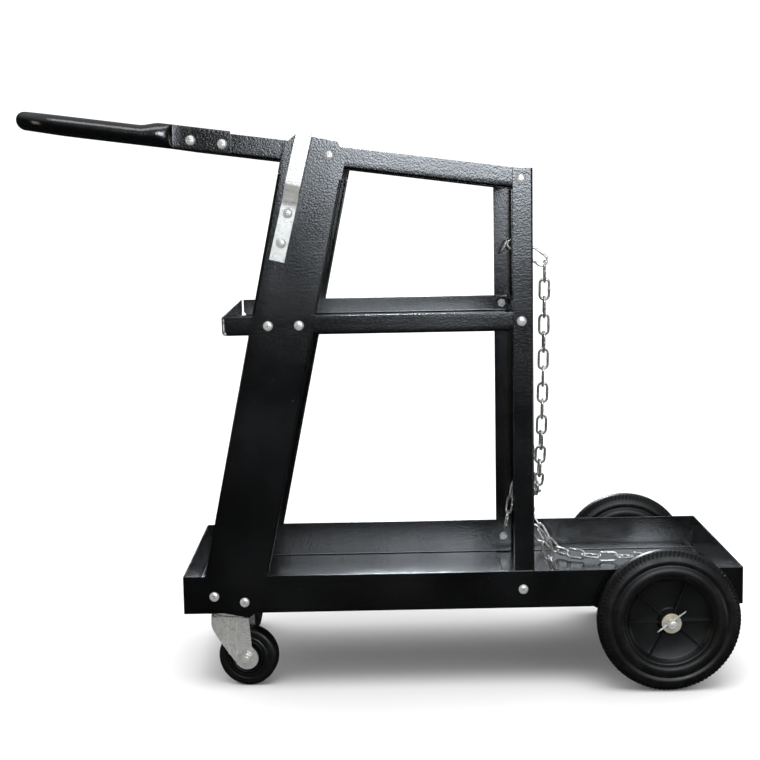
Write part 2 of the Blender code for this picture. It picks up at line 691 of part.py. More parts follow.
def build_fork(label, turned, top):
    cheek_in = CASTER_WIDTH / 2 + 0.0032
    cheek_out = cheek_in + 0.002

    def cheek_place(u, v, w):
        return turned(u, w, v)

    outline = fork_outline(top)
    fork = finish(f"caster_fork_{label}", prism(outline, cheek_in, cheek_out, cheek_place), MATERIALS["zinc"],
                  origin=turned(0, 0, top))
    other = finish(f"fork_cheek_{label}", prism(outline, -cheek_out, -cheek_in, cheek_place), MATERIALS["zinc"])
    crown_outline = [(0.0238, -cheek_out + 0.0004), (0.0238, cheek_out - 0.0004)]
    crown_outline += [(-0.0180, cheek_out - 0.0004), (-0.0205, 0.0105), (-0.0258, 0.0090), (-0.0258, -0.0090),
                      (-0.0205, -0.0105), (-0.0180, -cheek_out + 0.0004)]
    crown = finish(f"fork_crown_{label}", prism(crown_outline, top - 0.0028, top - 0.0003, turned), MATERIALS["zinc"])
    for tool in (other, crown):
        tool.hide_render = True
        tool.display_type = "WIRE"
        combine(fork, tool, "UNION")
    hole = lathe([(0, -0.03), (0.0044, -0.03), (0.0044, 0.03), (0, 0.03)], 16,
                 lambda a, b, h: turned(CASTER_TRAIL + a, h, CASTER_RADIUS + b))
    combine(fork, cutter(f"fork_hole_{label}", hole), "DIFFERENCE")
    return fork


def build_caster_wheel(label, turned):
    def place(a, b, h):
        return turned(CASTER_TRAIL + a, h, CASTER_RADIUS + b)

    centre = turned(CASTER_TRAIL, 0, CASTER_RADIUS)
    half = CASTER_WIDTH / 2
    inner = 0.0215
    tyre_profile = [(inner, -half + 0.001), (0.0345, -half), (CASTER_RADIUS, -half + 0.004),
                    (CASTER_RADIUS, half - 0.004), (0.0345, half), (inner, half - 0.001)]
    tyre = finish(f"caster_tyre_{label}", lathe(tyre_profile, 24, place), MATERIALS["rubber"], smooth=True,
                  origin=centre)
    smooth_by_angle(tyre, 30)
    core_out = inner - GAP
    core_profile = [(0.0044, -half - 0.0022), (0.0095, -half - 0.0022), (0.0100, -half + 0.004),
                    (0.0180, -half + 0.004), (core_out, -half + 0.002), (core_out, half - 0.002),
                    (0.0180, half - 0.004), (0.0100, half - 0.004), (0.0095, half + 0.0022),
                    (0.0044, half + 0.0022)]
    core = finish(f"caster_core_{label}", lathe(core_profile, 20, place), MATERIALS["black_plastic"], smooth=True,
                  origin=centre)
    smooth_by_angle(core, 30)
    seat = half + 0.0032 + 0.002 + GAP
    across = 0.0065
    stations = [("hex", -seat - 0.0050), ("hex", -seat), (0.0040, -seat), (0.0040, seat), ("hex", seat),
                ("hex", seat + 0.0055), (0.0040, seat + 0.0055), (0.0040, seat + 0.0080)]
    rings = []
    for kind, height in stations:
        ring = []
        for index in range(12):
            angle = 2 * pi * index / 12
            radius = kind
            if kind == "hex":
                radius = across / cos(pi / 6) if index % 2 == 0 else across
            ring.append(place(radius * cos(angle), radius * sin(angle), height))
        rings.append(ring)
    finish(f"caster_bolt_{label}", loft(rings), MATERIALS["zinc"], origin=turned(0, 0, CASTER_RADIUS))
    return tyre, core


# ---------------------------------------------------------------- chains


def hanging_curve(span, drop, count=160):
    """Catenary between two anchors a span apart, dropping by the given depth: (across, down) pairs."""
    low, high = 0.01, 2.0
    for _ in range(80):
        scale = (low + high) / 2
        sag = scale * (np.cosh(span / 2 / scale) - 1)
        if sag > drop:
            low = scale
        else:
            high = scale
    across = np.linspace(-span / 2, span / 2, 4001)
    down = scale * (np.cosh(span / 2 / scale) - np.cosh(across / scale))
    steps = np.hypot(np.diff(across), np.diff(down))
    run = np.concatenate(([0], np.cumsum(steps)))
    marks = np.linspace(0, run[-1], count)
    return np.interp(marks, run, across), np.interp(marks, run, down)


def resample(points, pitch):
    """Points along a path at equal distances as near to the pitch as fits a whole number of links."""
    points = np.asarray(points, dtype=float)
    steps = np.linalg.norm(np.diff(points, axis=0), axis=1)
    run = np.concatenate(([0], np.cumsum(steps)))
    links = int(round(run[-1] / pitch))
    marks = np.linspace(0, run[-1], links + 1)
    return np.stack([np.interp(marks, run, points[:, axis]) for axis in range(3)], axis=1)


def chain_rings(joints, wide_first, up):
    """Low-detail chain: one flat piece per link, each turned a quarter from the last."""
    rings = []
    side = Vector(up)
    for index, (start, end) in enumerate(zip(joints, joints[1:])):
        start, end = Vector(start), Vector(end)
        ahead = (end - start).normalized()
        side = (side - ahead * side.dot(ahead)).normalized()
        other = ahead.cross(side)
        wide_side = (index % 2 == 0) == wide_first
        half_side = LINK_HALF_WIDTH if wide_side else LINK_WIRE
        half_other = LINK_WIRE if wide_side else LINK_HALF_WIDTH
        length = (end - start).length
        for fraction, scale in ((0.02, 0.0), (0.22, 1.0), (0.78, 1.0)):
            a = LINK_WIRE * 1.15 + (half_side - LINK_WIRE * 1.15) * scale
            b = LINK_WIRE * 1.15 + (half_other - LINK_WIRE * 1.15) * scale
            centre = start + ahead * length * fraction
            ring = []
            for u, v in ((1, 1), (-1, 1), (-1, -1), (1, -1)):
                ring.append(centre + side * a * u + other * b * v)
            rings.append(ring)
    return rings


def stadium_link(name, centre, ahead, across, surface):
    """One round-wire link as a closed ring."""
    ahead, across = Vector(ahead).normalized(), Vector(across).normalized()
    normal = ahead.cross(across)
    straight = 0.0068
    bend = LINK_HALF_WIDTH - LINK_WIRE
    path = [(straight + bend * cos(a), bend * sin(a)) for a in np.linspace(-pi / 2, pi / 2, 7)]
    path += [(-straight + bend * cos(a), bend * sin(a)) for a in np.linspace(pi / 2, 3 * pi / 2, 7)]
    data = bmesh.new()
    rows = []
    count = len(path)
    for index, (u, v) in enumerate(path):
        before, after = path[index - 1], path[(index + 1) % count]
        tangent = Vector((after[0] - before[0], after[1] - before[1])).normalized()
        out = Vector((tangent.y, -tangent.x))
        row = []
        for step in range(8):
            angle = 2 * pi * step / 8
            flat = Vector((u, v)) + out * LINK_WIRE * cos(angle)
            row.append(data.verts.new(Vector(centre) + ahead * flat.x + across * flat.y
                                      + normal * LINK_WIRE * sin(angle)))
        rows.append(row)
    for index in range(count):
        join_rings(data, rows[index], rows[(index + 1) % count])
    made = finish(name, data, surface, smooth=True)
    return made


def build_upper_chain():
    tilt = radians(-38)
    ahead = (cos(tilt), 0, sin(tilt))
    for label, side in (("near", -1), ("far", 1)):
        centre = (UPRIGHT_X[1] + 0.0035, side * SLOT_Y, UPPER_SLOT_Z - 0.0035)
        stadium_link(f"anchor_link_{label}", centre, ahead, (sin(tilt), 0, -cos(tilt)), MATERIALS["zinc"])
    across, down = hanging_curve(2 * SLOT_Y, UPPER_CHAIN_Z - CHAIN_DROP_Z)
    points = [(CHAIN_X, y, UPPER_CHAIN_Z - d) for y, d in zip(across, down)]
    joints = resample(points, LINK_PITCH)
    return finish("upper_chain", loft(chain_rings(joints, False, (1, 0, 0))), MATERIALS["zinc"],
                  origin=(CHAIN_X, 0, UPPER_CHAIN_Z))


def floor_run():
    """Centre line of the lower chain, from the near slot down, round the platform floor and up to the far slot."""
    floor = TRAY_Z + 2 * SHEET + GAP + LINK_HALF_WIDTH + 0.0027
    near_top = (UPRIGHT_X[1] + 0.0150, -SLOT_Y, LOWER_SLOT_Z - 0.0130)
    far_top = (UPRIGHT_X[1] + 0.0150, SLOT_Y, LOWER_SLOT_Z - 0.0130)
    knots = [near_top, (0.2010, -0.1320, 0.160), (0.2070, -0.1240, 0.130), (0.2180, -0.1120, floor),
             (0.2420, -0.0980, floor), (0.2900, -0.0760, floor), (0.3350, -0.0520, floor), (0.3620, -0.0100, floor),
             (0.3680, 0.0300, floor), (0.3550, 0.0660, floor), (0.3200, 0.0850, floor), (0.2750, 0.0900, floor),
             (0.2380, 0.1000, floor), (0.2200, 0.1110, floor + 0.006), (0.2080, 0.1240, 0.140),
             (0.2010, 0.1320, 0.166), far_top]
    return smooth_path(knots)


def smooth_path(knots, steps=12):
    """Catmull-Rom curve through the knots."""
    points = [Vector(knot) for knot in knots]
    points = [points[0] * 2 - points[1]] + points + [points[-1] * 2 - points[-2]]
    curve = []
    for index in range(1, len(points) - 2):
        before, start, end, after = points[index - 1:index + 3]
        for step in range(steps):
            t = step / steps
            curve.append(0.5 * ((2 * start) + (end - before) * t + (2 * before - 5 * start + 4 * end - after) * t * t
                                + (3 * start - before - 3 * end + after) * t * t * t))
    curve.append(points[-2])
    return curve


def build_lower_chain():
    joints = resample([tuple(point) for point in floor_run()], LINK_PITCH)
    return finish("lower_chain", loft(chain_rings(joints, False, (1, 0, 0))), MATERIALS["zinc"])


# ---------------------------------------------------------------- assembly

clear_scene()
MATERIALS = {
    "black_coat": material("black_coat", (0.012, 0.012, 0.013), 0.28, 0.0),
    "zinc": material("zinc", (0.72, 0.73, 0.74), 0.30, 1.0),
    "rubber": material("rubber", (0.020, 0.020, 0.021), 0.70, 0.0),
    "black_plastic": material("black_plastic", (0.016, 0.016, 0.017), 0.45, 0.0),
}
build_trays()
for side_name, side_sign in (("near", -1), ("far", 1)):
    build_leg(f"leg_{side_name}", side_sign)
    build_upright(f"upright_{side_name}", side_sign)
    build_wheel(side_name, side_sign)
    build_caster(side_name, side_sign)
build_handle()
build_hook()
build_axle()
build_bolts()
build_upper_chain()
build_lower_chain()
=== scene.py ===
"""Detailed visual model of the three-tier welding cart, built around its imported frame.

Part frame, metres: +X towards the cylinder platform, +Y across the cart, +Z up, floor at z = 0.
"""

import random
from math import atan, cos, pi, radians, sin, tan

import bmesh
import bpy
import numpy as np
from mathutils import Matrix, Vector


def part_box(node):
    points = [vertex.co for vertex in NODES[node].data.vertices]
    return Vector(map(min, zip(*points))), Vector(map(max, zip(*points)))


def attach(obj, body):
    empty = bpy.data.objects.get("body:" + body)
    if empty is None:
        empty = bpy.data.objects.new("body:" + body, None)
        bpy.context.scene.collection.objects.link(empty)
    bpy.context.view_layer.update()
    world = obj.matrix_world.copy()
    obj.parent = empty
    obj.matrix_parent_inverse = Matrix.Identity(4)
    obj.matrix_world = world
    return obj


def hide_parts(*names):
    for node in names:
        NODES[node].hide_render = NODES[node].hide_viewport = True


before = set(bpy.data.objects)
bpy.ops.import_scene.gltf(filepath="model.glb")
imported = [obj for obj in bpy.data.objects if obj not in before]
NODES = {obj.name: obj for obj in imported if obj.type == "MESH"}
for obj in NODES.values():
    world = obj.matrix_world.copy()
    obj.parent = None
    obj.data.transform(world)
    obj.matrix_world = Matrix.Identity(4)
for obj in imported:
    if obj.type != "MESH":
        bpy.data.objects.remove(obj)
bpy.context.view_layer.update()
SIDES = (("near", -1), ("far", 1))

# ---------------------------------------------------------------- dimensions shared with the CAD part
TOP_SLOPE = atan(0.1352)
TOP_RIM_Z = 0.6788
DATUM_X = 0.004
TUBE_RADIUS = 0.0114
HANDLE_Y = 0.1477
HANDLE_END_X = -0.4555
HANDLE_CORNER = 0.048
HANDLE_DROP = 0.0136
PLATE_END_X = -0.1860
PLATE_HALF_HEIGHT = 0.01425
PLATE_RAISE = 0.00235
HOOK_Y = 0.1526
WHEEL_X = 0.3490
WHEEL_Y = 0.171
WHEEL_RADIUS = 0.0905
WHEEL_HALF = 0.017
AXLE_RADIUS = 0.006
AXLE_END_Y = 0.2025
PIN_OFFSET = 0.0025
CASTER_X = -0.2042
CASTER_Y = 0.113
CASTER_TRAIL = 0.0203
CASTER_RADIUS = 0.0382
CASTER_HALF = 0.012
CASTER_TURNS = {"near": radians(-8), "far": radians(82)}
TRAY_BOTTOM = 0.102
PLATFORM_TOP = 0.1053
LINK_PITCH = 0.0229
LINK_WIRE = 0.0017
LINK_HALF_WIDTH = 0.0075
CHAIN_X = 0.1990
UPPER_CHAIN_Z = 0.5395
CHAIN_DROP_Z = 0.2220
SLOT_Y = 0.1345
FLANGE_X = 0.1833
UPPER_SLOT_Z = 0.5520
LOWER_SLOT_Z = 0.2030

# ---------------------------------------------------------------- dimensions of the finer shapes
SHEET_EDGE = 0.0005
SHARP_SHEET = 35
MERGE = 2e-5
HEAD_HEIGHT = 0.0030
NUT_REACH = 0.0050
TREAD_BLOCKS = 100
TREAD_DEPTH = 0.0016
RIB_ANGLES = (0, 68, 139, 180, 240, 320)
WASHER_THICKNESS = 0.0018
GAP = 0.0003
PIN_WIRE = 0.0006
PIN_EYE = -0.0180
FORK_SHEET = 0.0020
FORK_RIDGES = (0.0075, -0.0025)
FORK_SHOULDER = -0.0105
PLATE_THICKNESS = 0.0025
RACE_DROP = 0.0078
TOGGLE_PITCH = 0.0250
FLOOR_SIZE = 30.0

# ---------------------------------------------------------------- mesh helpers


def to_mesh(name, data):
    """Turn a bmesh into a mesh with its faces pointing out."""
    bmesh.ops.recalc_face_normals(data, faces=data.faces)
    mesh = bpy.data.meshes.new(name)
    data.to_mesh(mesh)
    data.free()
    return mesh


def shade(mesh, angle):
    """Shade smooth, with edges sharper than the angle in degrees kept crisp."""
    mesh.polygons.foreach_set("use_smooth", [True] * len(mesh.polygons))
    mesh.set_sharp_from_angle(angle=radians(angle))


def mesh_object(name, data, surface, body, replaced=(), angle=35):
    """Turn a bmesh, measured from the drawing datum, into a smooth-shaded piece that rides on a body."""
    bmesh.ops.translate(data, verts=data.verts, vec=(DATUM_X, 0, 0))
    bmesh.ops.remove_doubles(data, verts=data.verts, dist=1e-7)
    mesh = to_mesh(name, data)
    shade(mesh, angle)
    return piece(name, mesh, surface, body, replaced)


def piece(name, mesh, surface, body, replaced=(), matrix=None):
    """Object with this mesh that rides on a body and stands in for the named CAD nodes."""
    made = bpy.data.objects.new(name, mesh)
    bpy.context.scene.collection.objects.link(made)
    if not mesh.materials:
        mesh.materials.append(surface)
    if matrix is not None:
        made.matrix_world = matrix
    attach(made, body)
    if replaced:
        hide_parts(*replaced)
    return made


def skin(data, rings, closed_rows=False):
    """Join closed rings of points into faces of an existing bmesh, with caps unless the rows close too."""
    rows = [[data.verts.new(point) for point in ring] for ring in rings]
    pairs = list(zip(rows, rows[1:]))
    if closed_rows:
        pairs.append((rows[-1], rows[0]))
    for first, second in pairs:
        count = len(first)
        for index in range(count):
            after = (index + 1) % count
            data.faces.new((first[index], second[index], second[after], first[after]))
    if not closed_rows:
        data.faces.new(list(reversed(rows[0])))
        data.faces.new(rows[-1])
    return data


def tube(data, path, radius, sides=12, closed=False, up=(0, 0, 1)):
    """Round wire along a path, with frames carried along so that it doesn't twist."""
    points = [Vector(point) for point in path]
    count = len(points)
    radii = radius if hasattr(radius, "__len__") else [radius] * count
    side = Vector(up)
    rings = []
    for index, point in enumerate(points):
        before = points[index - 1] if index or closed else point
        after = points[(index + 1) % count] if index < count - 1 or closed else point
        ahead = (after - before).normalized()
        side = (side - ahead * side.dot(ahead))
        if side.length < 1e-6:
            side = ahead.orthogonal()
        side.normalize()
        other = ahead.cross(side)
        angles = [2 * pi * step / sides for step in range(sides)]
        rings.append([point + (side * cos(a) + other * sin(a)) * radii[index] for a in angles])
    return skin(data, rings, closed_rows=closed)


def lathe(data, profile, steps, place, closed=True):
    """Turned shape from (radius, height) pairs; place(a, b, h) gives each position."""
    rings = []
    for radius, height in profile:
        ring = []
        for index in range(steps):
            angle = 2 * pi * index / steps
            reach = max(radius, 1e-5)
            ring.append(Vector(place(reach * cos(angle), reach * sin(angle), height)))
        rings.append(ring)
    return skin(data, rings, closed_rows=closed)


def prism(data, outline, low, high, place):
    rings = [[Vector(place(u, v, w)) for u, v in outline] for w in (low, high)]
    return skin(data, rings)


def arc(centre, radius, start, end, steps):
    angles = np.radians(np.linspace(start, end, steps + 1))
    return [(centre[0] + radius * cos(a), centre[1] + radius * sin(a)) for a in angles]


def rounded_box_outline(half_u, half_v, radius, steps=5):
    corners = ((half_u - radius, half_v - radius, 0), (-half_u + radius, half_v - radius, 90),
               (-half_u + radius, -half_v + radius, 180), (half_u - radius, -half_v + radius, 270))
    outline = []
    for u, v, start in corners:
        outline += arc((u, v), radius, start, start + 90, steps)
    return outline


def smooth_path(knots, steps=12):
    """Catmull-Rom curve through the knots."""
    points = [Vector(knot) for knot in knots]
    points = [points[0] * 2 - points[1]] + points + [points[-1] * 2 - points[-2]]
    curve = []
    for index in range(1, len(points) - 2):
        before, start, end, after = points[index - 1:index + 3]
        for step in range(steps):
            t = step / steps
            bend = (2 * before - 5 * start + 4 * end - after) * t * t
            twist = (3 * start - before - 3 * end + after) * t * t * t
            curve.append(0.5 * ((2 * start) + (end - before) * t + bend + twist))
    curve.append(points[-2])
    return curve


def boolean(data, tool_data, operation, name):
    """Exact Boolean of two bmeshes, as a new mesh."""
    made = []
    for label, source in ((name, data), (f"{name}_tool", tool_data)):
        made.append(bpy.data.objects.new(label, to_mesh(label, source)))
        bpy.context.scene.collection.objects.link(made[-1])
    blank, tool = made
    modifier = blank.modifiers.new("cut", "BOOLEAN")
    modifier.object = tool
    modifier.operation = operation
    modifier.solver = "EXACT"
    bpy.context.view_layer.update()
    evaluated = blank.evaluated_get(bpy.context.evaluated_depsgraph_get())
    result = bpy.data.meshes.new_from_object(evaluated)
    for used in made:
        bpy.data.objects.remove(used)
    return result


def bevel(made, width, angle=30):
    modifier = made.modifiers.new("edge", "BEVEL")
    modifier.width = width
    modifier.segments = 2
    modifier.limit_method = "ANGLE"
    modifier.angle_limit = radians(angle)
    weighted = made.modifiers.new("shade", "WEIGHTED_NORMAL")
    weighted.keep_sharp = True


# ---------------------------------------------------------------- materials


class Graph:
    """Small helper for wiring shader nodes."""

    def __init__(self, name):
        self.material = bpy.data.materials.new(name)
        self.material.use_nodes = True
        self.tree = self.material.node_tree
        self.shader = self.tree.nodes["Principled BSDF"]
        self.where = self.add("ShaderNodeTexCoord").outputs["Object"]

    def add(self, kind, values=None, **settings):
        node = self.tree.nodes.new(kind)
        for key, value in settings.items():
            setattr(node, key, value)
        for key, value in (values or {}).items():
            if isinstance(value, bpy.types.NodeSocket):
                self.tree.links.new(value, node.inputs[key])
            else:
                node.inputs[key].default_value = value
        return node

    def link(self, output, socket):
        self.tree.links.new(output, self.shader.inputs[socket])

    def set(self, **values):
        for key, value in values.items():
            self.shader.inputs[key.replace("_", " ")].default_value = value

    def noise(self, scale, detail=2.0, rough=0.5, stretch=None):
        where = self.where
        if stretch is not None:
            where = self.add("ShaderNodeMapping", {"Vector": where, "Scale": stretch}).outputs["Vector"]
        return self.add("ShaderNodeTexNoise", {"Vector": where, "Scale": scale, "Detail": detail,
                                               "Roughness": rough}).outputs["Fac"]

    def ramp(self, value, low, high, from_low=0.0, from_high=1.0):
        return self.add("ShaderNodeMapRange", {"Value": value, "From Min": from_low, "From Max": from_high,
                                               "To Min": low, "To Max": high}).outputs["Result"]

    def math(self, operation, first, second=0.0):
        node = self.add("ShaderNodeMath", operation=operation)
        for index, value in enumerate((first, second)):
            if isinstance(value, bpy.types.NodeSocket):
                self.tree.links.new(value, node.inputs[index])
            else:
                node.inputs[index].default_value = value
        return node.outputs[0]

    def mix(self, factor, first, second):
        node = self.add("ShaderNodeMix", data_type="RGBA")
        for index, value in ((0, factor), (6, first), (7, second)):
            if isinstance(value, bpy.types.NodeSocket):
                self.tree.links.new(value, node.inputs[index])
            else:
                node.inputs[index].default_value = value if index == 0 else (*value, 1.0)
        return node.outputs[2]

    def bump(self, height, strength, distance, normal=None):
        values = {"Height": height, "Strength": strength, "Distance": distance}
        if normal is not None:
            values["Normal"] = normal
        return self.add("ShaderNodeBump", values).outputs["Normal"]

    def specks(self, scale, size, share):
        """Mask of small scattered dots: one in a cell, in the given share of cells."""
        cells = self.add("ShaderNodeTexVoronoi", {"Vector": self.where, "Scale": scale})
        dot = self.math("LESS_THAN", cells.outputs["Distance"], size)
        pick = self.add("ShaderNodeSeparateColor", {"Color": cells.outputs["Color"]}).outputs[0]
        return self.math("MULTIPLY", dot, self.math("LESS_THAN", pick, share))


def black_coat():
    """Glossy black powder coat: orange peel, slightly uneven gloss, specks of dust and painted glints."""
    g = Graph("black_coat_paint")
    g.set(Specular_IOR_Level=1.0, Metallic=0.0)
    cloud = g.noise(11.0, 3.0)
    peel = g.noise(420.0, 1.0, 0.4)
    fine = g.noise(1500.0, 1.0, 0.5)
    # Light specks mixed into the base colour: partly workshop dust, partly painted glints that stand in for
    # the sparkle of the orange peel.
    dust = g.specks(70.0, 0.040, 0.12)
    lint_and_glints = g.specks(260.0, 0.10, 0.03)
    dust_and_glints = g.math("MAXIMUM", dust, lint_and_glints)
    base = g.mix(cloud, (0.0007, 0.0008, 0.0009), (0.0016, 0.0017, 0.0019))
    g.link(g.mix(dust_and_glints, base, (0.030, 0.030, 0.034)), "Base Color")
    gloss = g.math("ADD", g.ramp(cloud, 0.13, 0.22, 0.3, 0.7), g.ramp(peel, -0.01, 0.03, 0.3, 0.7))
    g.link(g.math("ADD", gloss, g.math("MULTIPLY", dust_and_glints, 0.3)), "Roughness")
    first = g.bump(peel, 0.22, 0.0006)
    g.link(g.bump(fine, 0.10, 0.0003, first), "Normal")
    return g.material


def zinc(name="zinc_plate", tint=(0.66, 0.665, 0.66), warm=(0.60, 0.595, 0.55), rough=0.27, metallic=0.55):
    """Bright zinc plate with faint chromate tint, rolling lines and fine scratches."""
    g = Graph(name)
    g.set(Metallic=metallic, Specular_IOR_Level=0.5)
    patches = g.noise(75.0, 4.0, 0.6)
    lines = g.noise(260.0, 3.0, 0.6, (1.0, 1.0, 7.0))
    grain = g.noise(1700.0, 2.0)
    dull = g.ramp(g.noise(190.0, 5.0, 0.65), 0.0, 0.55, 0.50, 0.72)
    base = g.mix(g.ramp(patches, 0.0, 1.0, 0.35, 0.68), tint, warm)
    g.link(g.mix(dull, base, tuple(0.55 * value for value in warm)), "Base Color")
    gloss = g.ramp(patches, rough - 0.06, rough + 0.10, 0.3, 0.7)
    g.link(g.math("ADD", gloss, g.ramp(lines, -0.03, 0.05, 0.3, 0.7)), "Roughness")
    first = g.bump(lines, 0.14, 0.0004)
    g.link(g.bump(grain, 0.16, 0.0003, first), "Normal")
    return g.material


def rubber():
    """Black rubber, a little scuffed and brownish."""
    g = Graph("tyre_rubber")
    g.set(Metallic=0.0, Specular_IOR_Level=0.28)
    cloud = g.noise(38.0, 4.0, 0.6)
    grain = g.noise(900.0, 3.0, 0.6)
    scuff = g.ramp(g.noise(120.0, 5.0, 0.7), 0.0, 1.0, 0.52, 0.72)
    base = g.mix(cloud, (0.0024, 0.0024, 0.0021), (0.0048, 0.0047, 0.0040))
    g.link(g.mix(g.math("MULTIPLY", scuff, 0.35), base, (0.026, 0.022, 0.014)), "Base Color")
    g.link(g.ramp(cloud, 0.30, 0.46, 0.3, 0.7), "Roughness")
    g.link(g.bump(grain, 0.22, 0.0005), "Normal")
    return g.material


def black_plastic():
    """Moulded black plastic with fine grain and some dust."""
    g = Graph("moulded_plastic")
    g.set(Metallic=0.0, Specular_IOR_Level=0.30)
    cloud = g.noise(30.0, 3.0)
    grain = g.noise(1500.0, 2.0, 0.6)
    dust = g.specks(140.0, 0.06, 0.08)
    base = g.mix(cloud, (0.0030, 0.0031, 0.0030), (0.0052, 0.0054, 0.0052))
    g.link(g.mix(dust, base, (0.04, 0.04, 0.04)), "Base Color")
    g.link(g.ramp(cloud, 0.28, 0.40, 0.3, 0.7), "Roughness")
    g.link(g.bump(grain, 0.16, 0.0004), "Normal")
    return g.material


COAT = black_coat()
ZINC = zinc()
YELLOW = zinc("yellow_zinc", (0.66, 0.63, 0.55), (0.60, 0.53, 0.38), 0.30)
CHAIN = zinc("chain_zinc", (0.72, 0.72, 0.71), (0.66, 0.65, 0.62), 0.22, 0.85)
RUBBER = rubber()
PLASTIC = black_plastic()

# ---------------------------------------------------------------- sheet metal carried over from the CAD


def shade_by_angle():
    """Node group that shades smooth and keeps the sheet's sharper edges crisp."""
    group = bpy.data.node_groups.new("shade_by_angle", "GeometryNodeTree")
    group.interface.new_socket("Geometry", in_out="INPUT", socket_type="NodeSocketGeometry")
    group.interface.new_socket("Geometry", in_out="OUTPUT", socket_type="NodeSocketGeometry")
    nodes, links = group.nodes, group.links
    start = nodes.new("NodeGroupInput")
    end = nodes.new("NodeGroupOutput")
    faces = nodes.new("GeometryNodeSetShadeSmooth")
    edges = nodes.new("GeometryNodeSetShadeSmooth")
    edges.domain = "EDGE"
    angle = nodes.new("GeometryNodeInputMeshEdgeAngle")
    sharp = nodes.new("FunctionNodeCompare")
    sharp.data_type = "FLOAT"
    sharp.operation = "GREATER_THAN"
    sharp.inputs[1].default_value = radians(SHARP_SHEET)
    edges.inputs["Shade Smooth"].default_value = False
    links.new(start.outputs[0], faces.inputs["Geometry"])
    links.new(faces.outputs[0], edges.inputs["Geometry"])
    links.new(angle.outputs["Unsigned Angle"], sharp.inputs[0])
    links.new(sharp.outputs[0], edges.inputs["Selection"])
    links.new(edges.outputs[0], end.inputs[0])
    return group


def keep_sheet(name, group):
    """Soften the edges of a CAD sheet and give it the black coat."""
    made = NODES[name]
    weld = made.modifiers.new("weld", "WELD")
    weld.merge_threshold = MERGE
    soften = made.modifiers.new("edge", "BEVEL")
    soften.width = SHEET_EDGE
    soften.segments = 2
    soften.limit_method = "ANGLE"
    soften.angle_limit = radians(40)
    shade = made.modifiers.new("shade", "NODES")
    shade.node_group = group
    weighted = made.modifiers.new("weight", "WEIGHTED_NORMAL")
    weighted.keep_sharp = True
    for place in made.material_slots:
        place.material = COAT


def build_sheets():
    group = shade_by_angle()
    for name in ("lower_tray", "platform_plate", "middle_shelf", "top_shelf"):
        keep_sheet(name, group)
    for name in ("leg", "upright"):
        for label, _ in SIDES:
            keep_sheet(f"{name}_{label}", group)


# ---------------------------------------------------------------- handle and hook


def on_slope(x):
    """Height of the handle's centre line at x."""
    return TOP_RIM_Z - tan(TOP_SLOPE) * x - HANDLE_DROP


def ease(value):
    """Smooth step from 0 to 1."""
    value = max(0.0, min(1.0, value))
    return value * value * (3 - 2 * value)


def handle_section(rise, outer, inner, count=40):
    """Section in (across, up); rise, outer and inner run from 0, round tube, to 1, pressed flat."""
    points = []
    for index in range(count):
        angle = 2 * pi * (index + 0.5) / count
        c, s = cos(angle), sin(angle)
        flat = outer if c > 0 else inner
        half_up = TUBE_RADIUS + (PLATE_HALF_HEIGHT - TUBE_RADIUS) * rise
        half_side = TUBE_RADIUS + (0.0016 - TUBE_RADIUS) * flat
        up = half_up * abs(s) ** (1.0 - 0.50 * rise * flat) * (1 if s > 0 else -1)
        side = half_side * abs(c) ** (1.0 - 0.84 * flat) * (1 if c > 0 else -1)
        points.append((side, up + PLATE_RAISE * rise))
    return points


def handle_shares(x):
    """How far the tube is pressed flat at x: in height, on the outside, which ends in a nose, and inside."""
    nose = max(0.0, min(0.93, (x + 0.2770) / 0.0200))
    outer = 1.0 - (1.0 - nose * nose) ** 0.5
    fillet = max(0.0, min(1.0, (x + 0.2584) / 0.0034))
    outer += (1.0 - outer) * (1.0 - (1.0 - fillet) ** 2)
    return ease((x + 0.2970) / 0.0270), outer, ease((x + 0.2960) / 0.0290)


def handle_stations():
    """Places along half the handle, (x, y, turn, shares), from the bolted end to the middle."""
    stations = []
    straight = [PLATE_END_X, -0.205, -0.225, -0.245] + list(np.linspace(-0.2555, -0.2985, 44))
    for x in straight + [-0.310, -0.330, -0.350, -0.375]:
        stations.append((x, HANDLE_Y, 0.0, *handle_shares(x)))
    centre_x = HANDLE_END_X + TUBE_RADIUS + HANDLE_CORNER
    centre_y = HANDLE_Y - HANDLE_CORNER
    for angle in np.linspace(0, 90, 17):
        turn = radians(angle)
        x = centre_x - HANDLE_CORNER * sin(turn)
        stations.append((x, centre_y + HANDLE_CORNER * cos(turn), turn, 0, 0, 0))
    return stations


def build_handle():
    near = handle_stations()
    far = [(x, -y, pi - turn, *shares) for x, y, turn, *shares in reversed(near)]
    rings = []
    for x, y, turn, *shares in near + far:
        sideways = Vector((-sin(turn), cos(turn), 0))
        ring = []
        for across, up in handle_section(*shares):
            spot = Vector((x, y, 0)) + sideways * across
            ring.append((spot.x, spot.y, on_slope(spot.x) + up))
        rings.append(ring)
    made = mesh_object("push_handle", skin(bmesh.new(), rings), COAT, "frame", ["handle"], 50)
    bevel(made, 0.0004, 50)


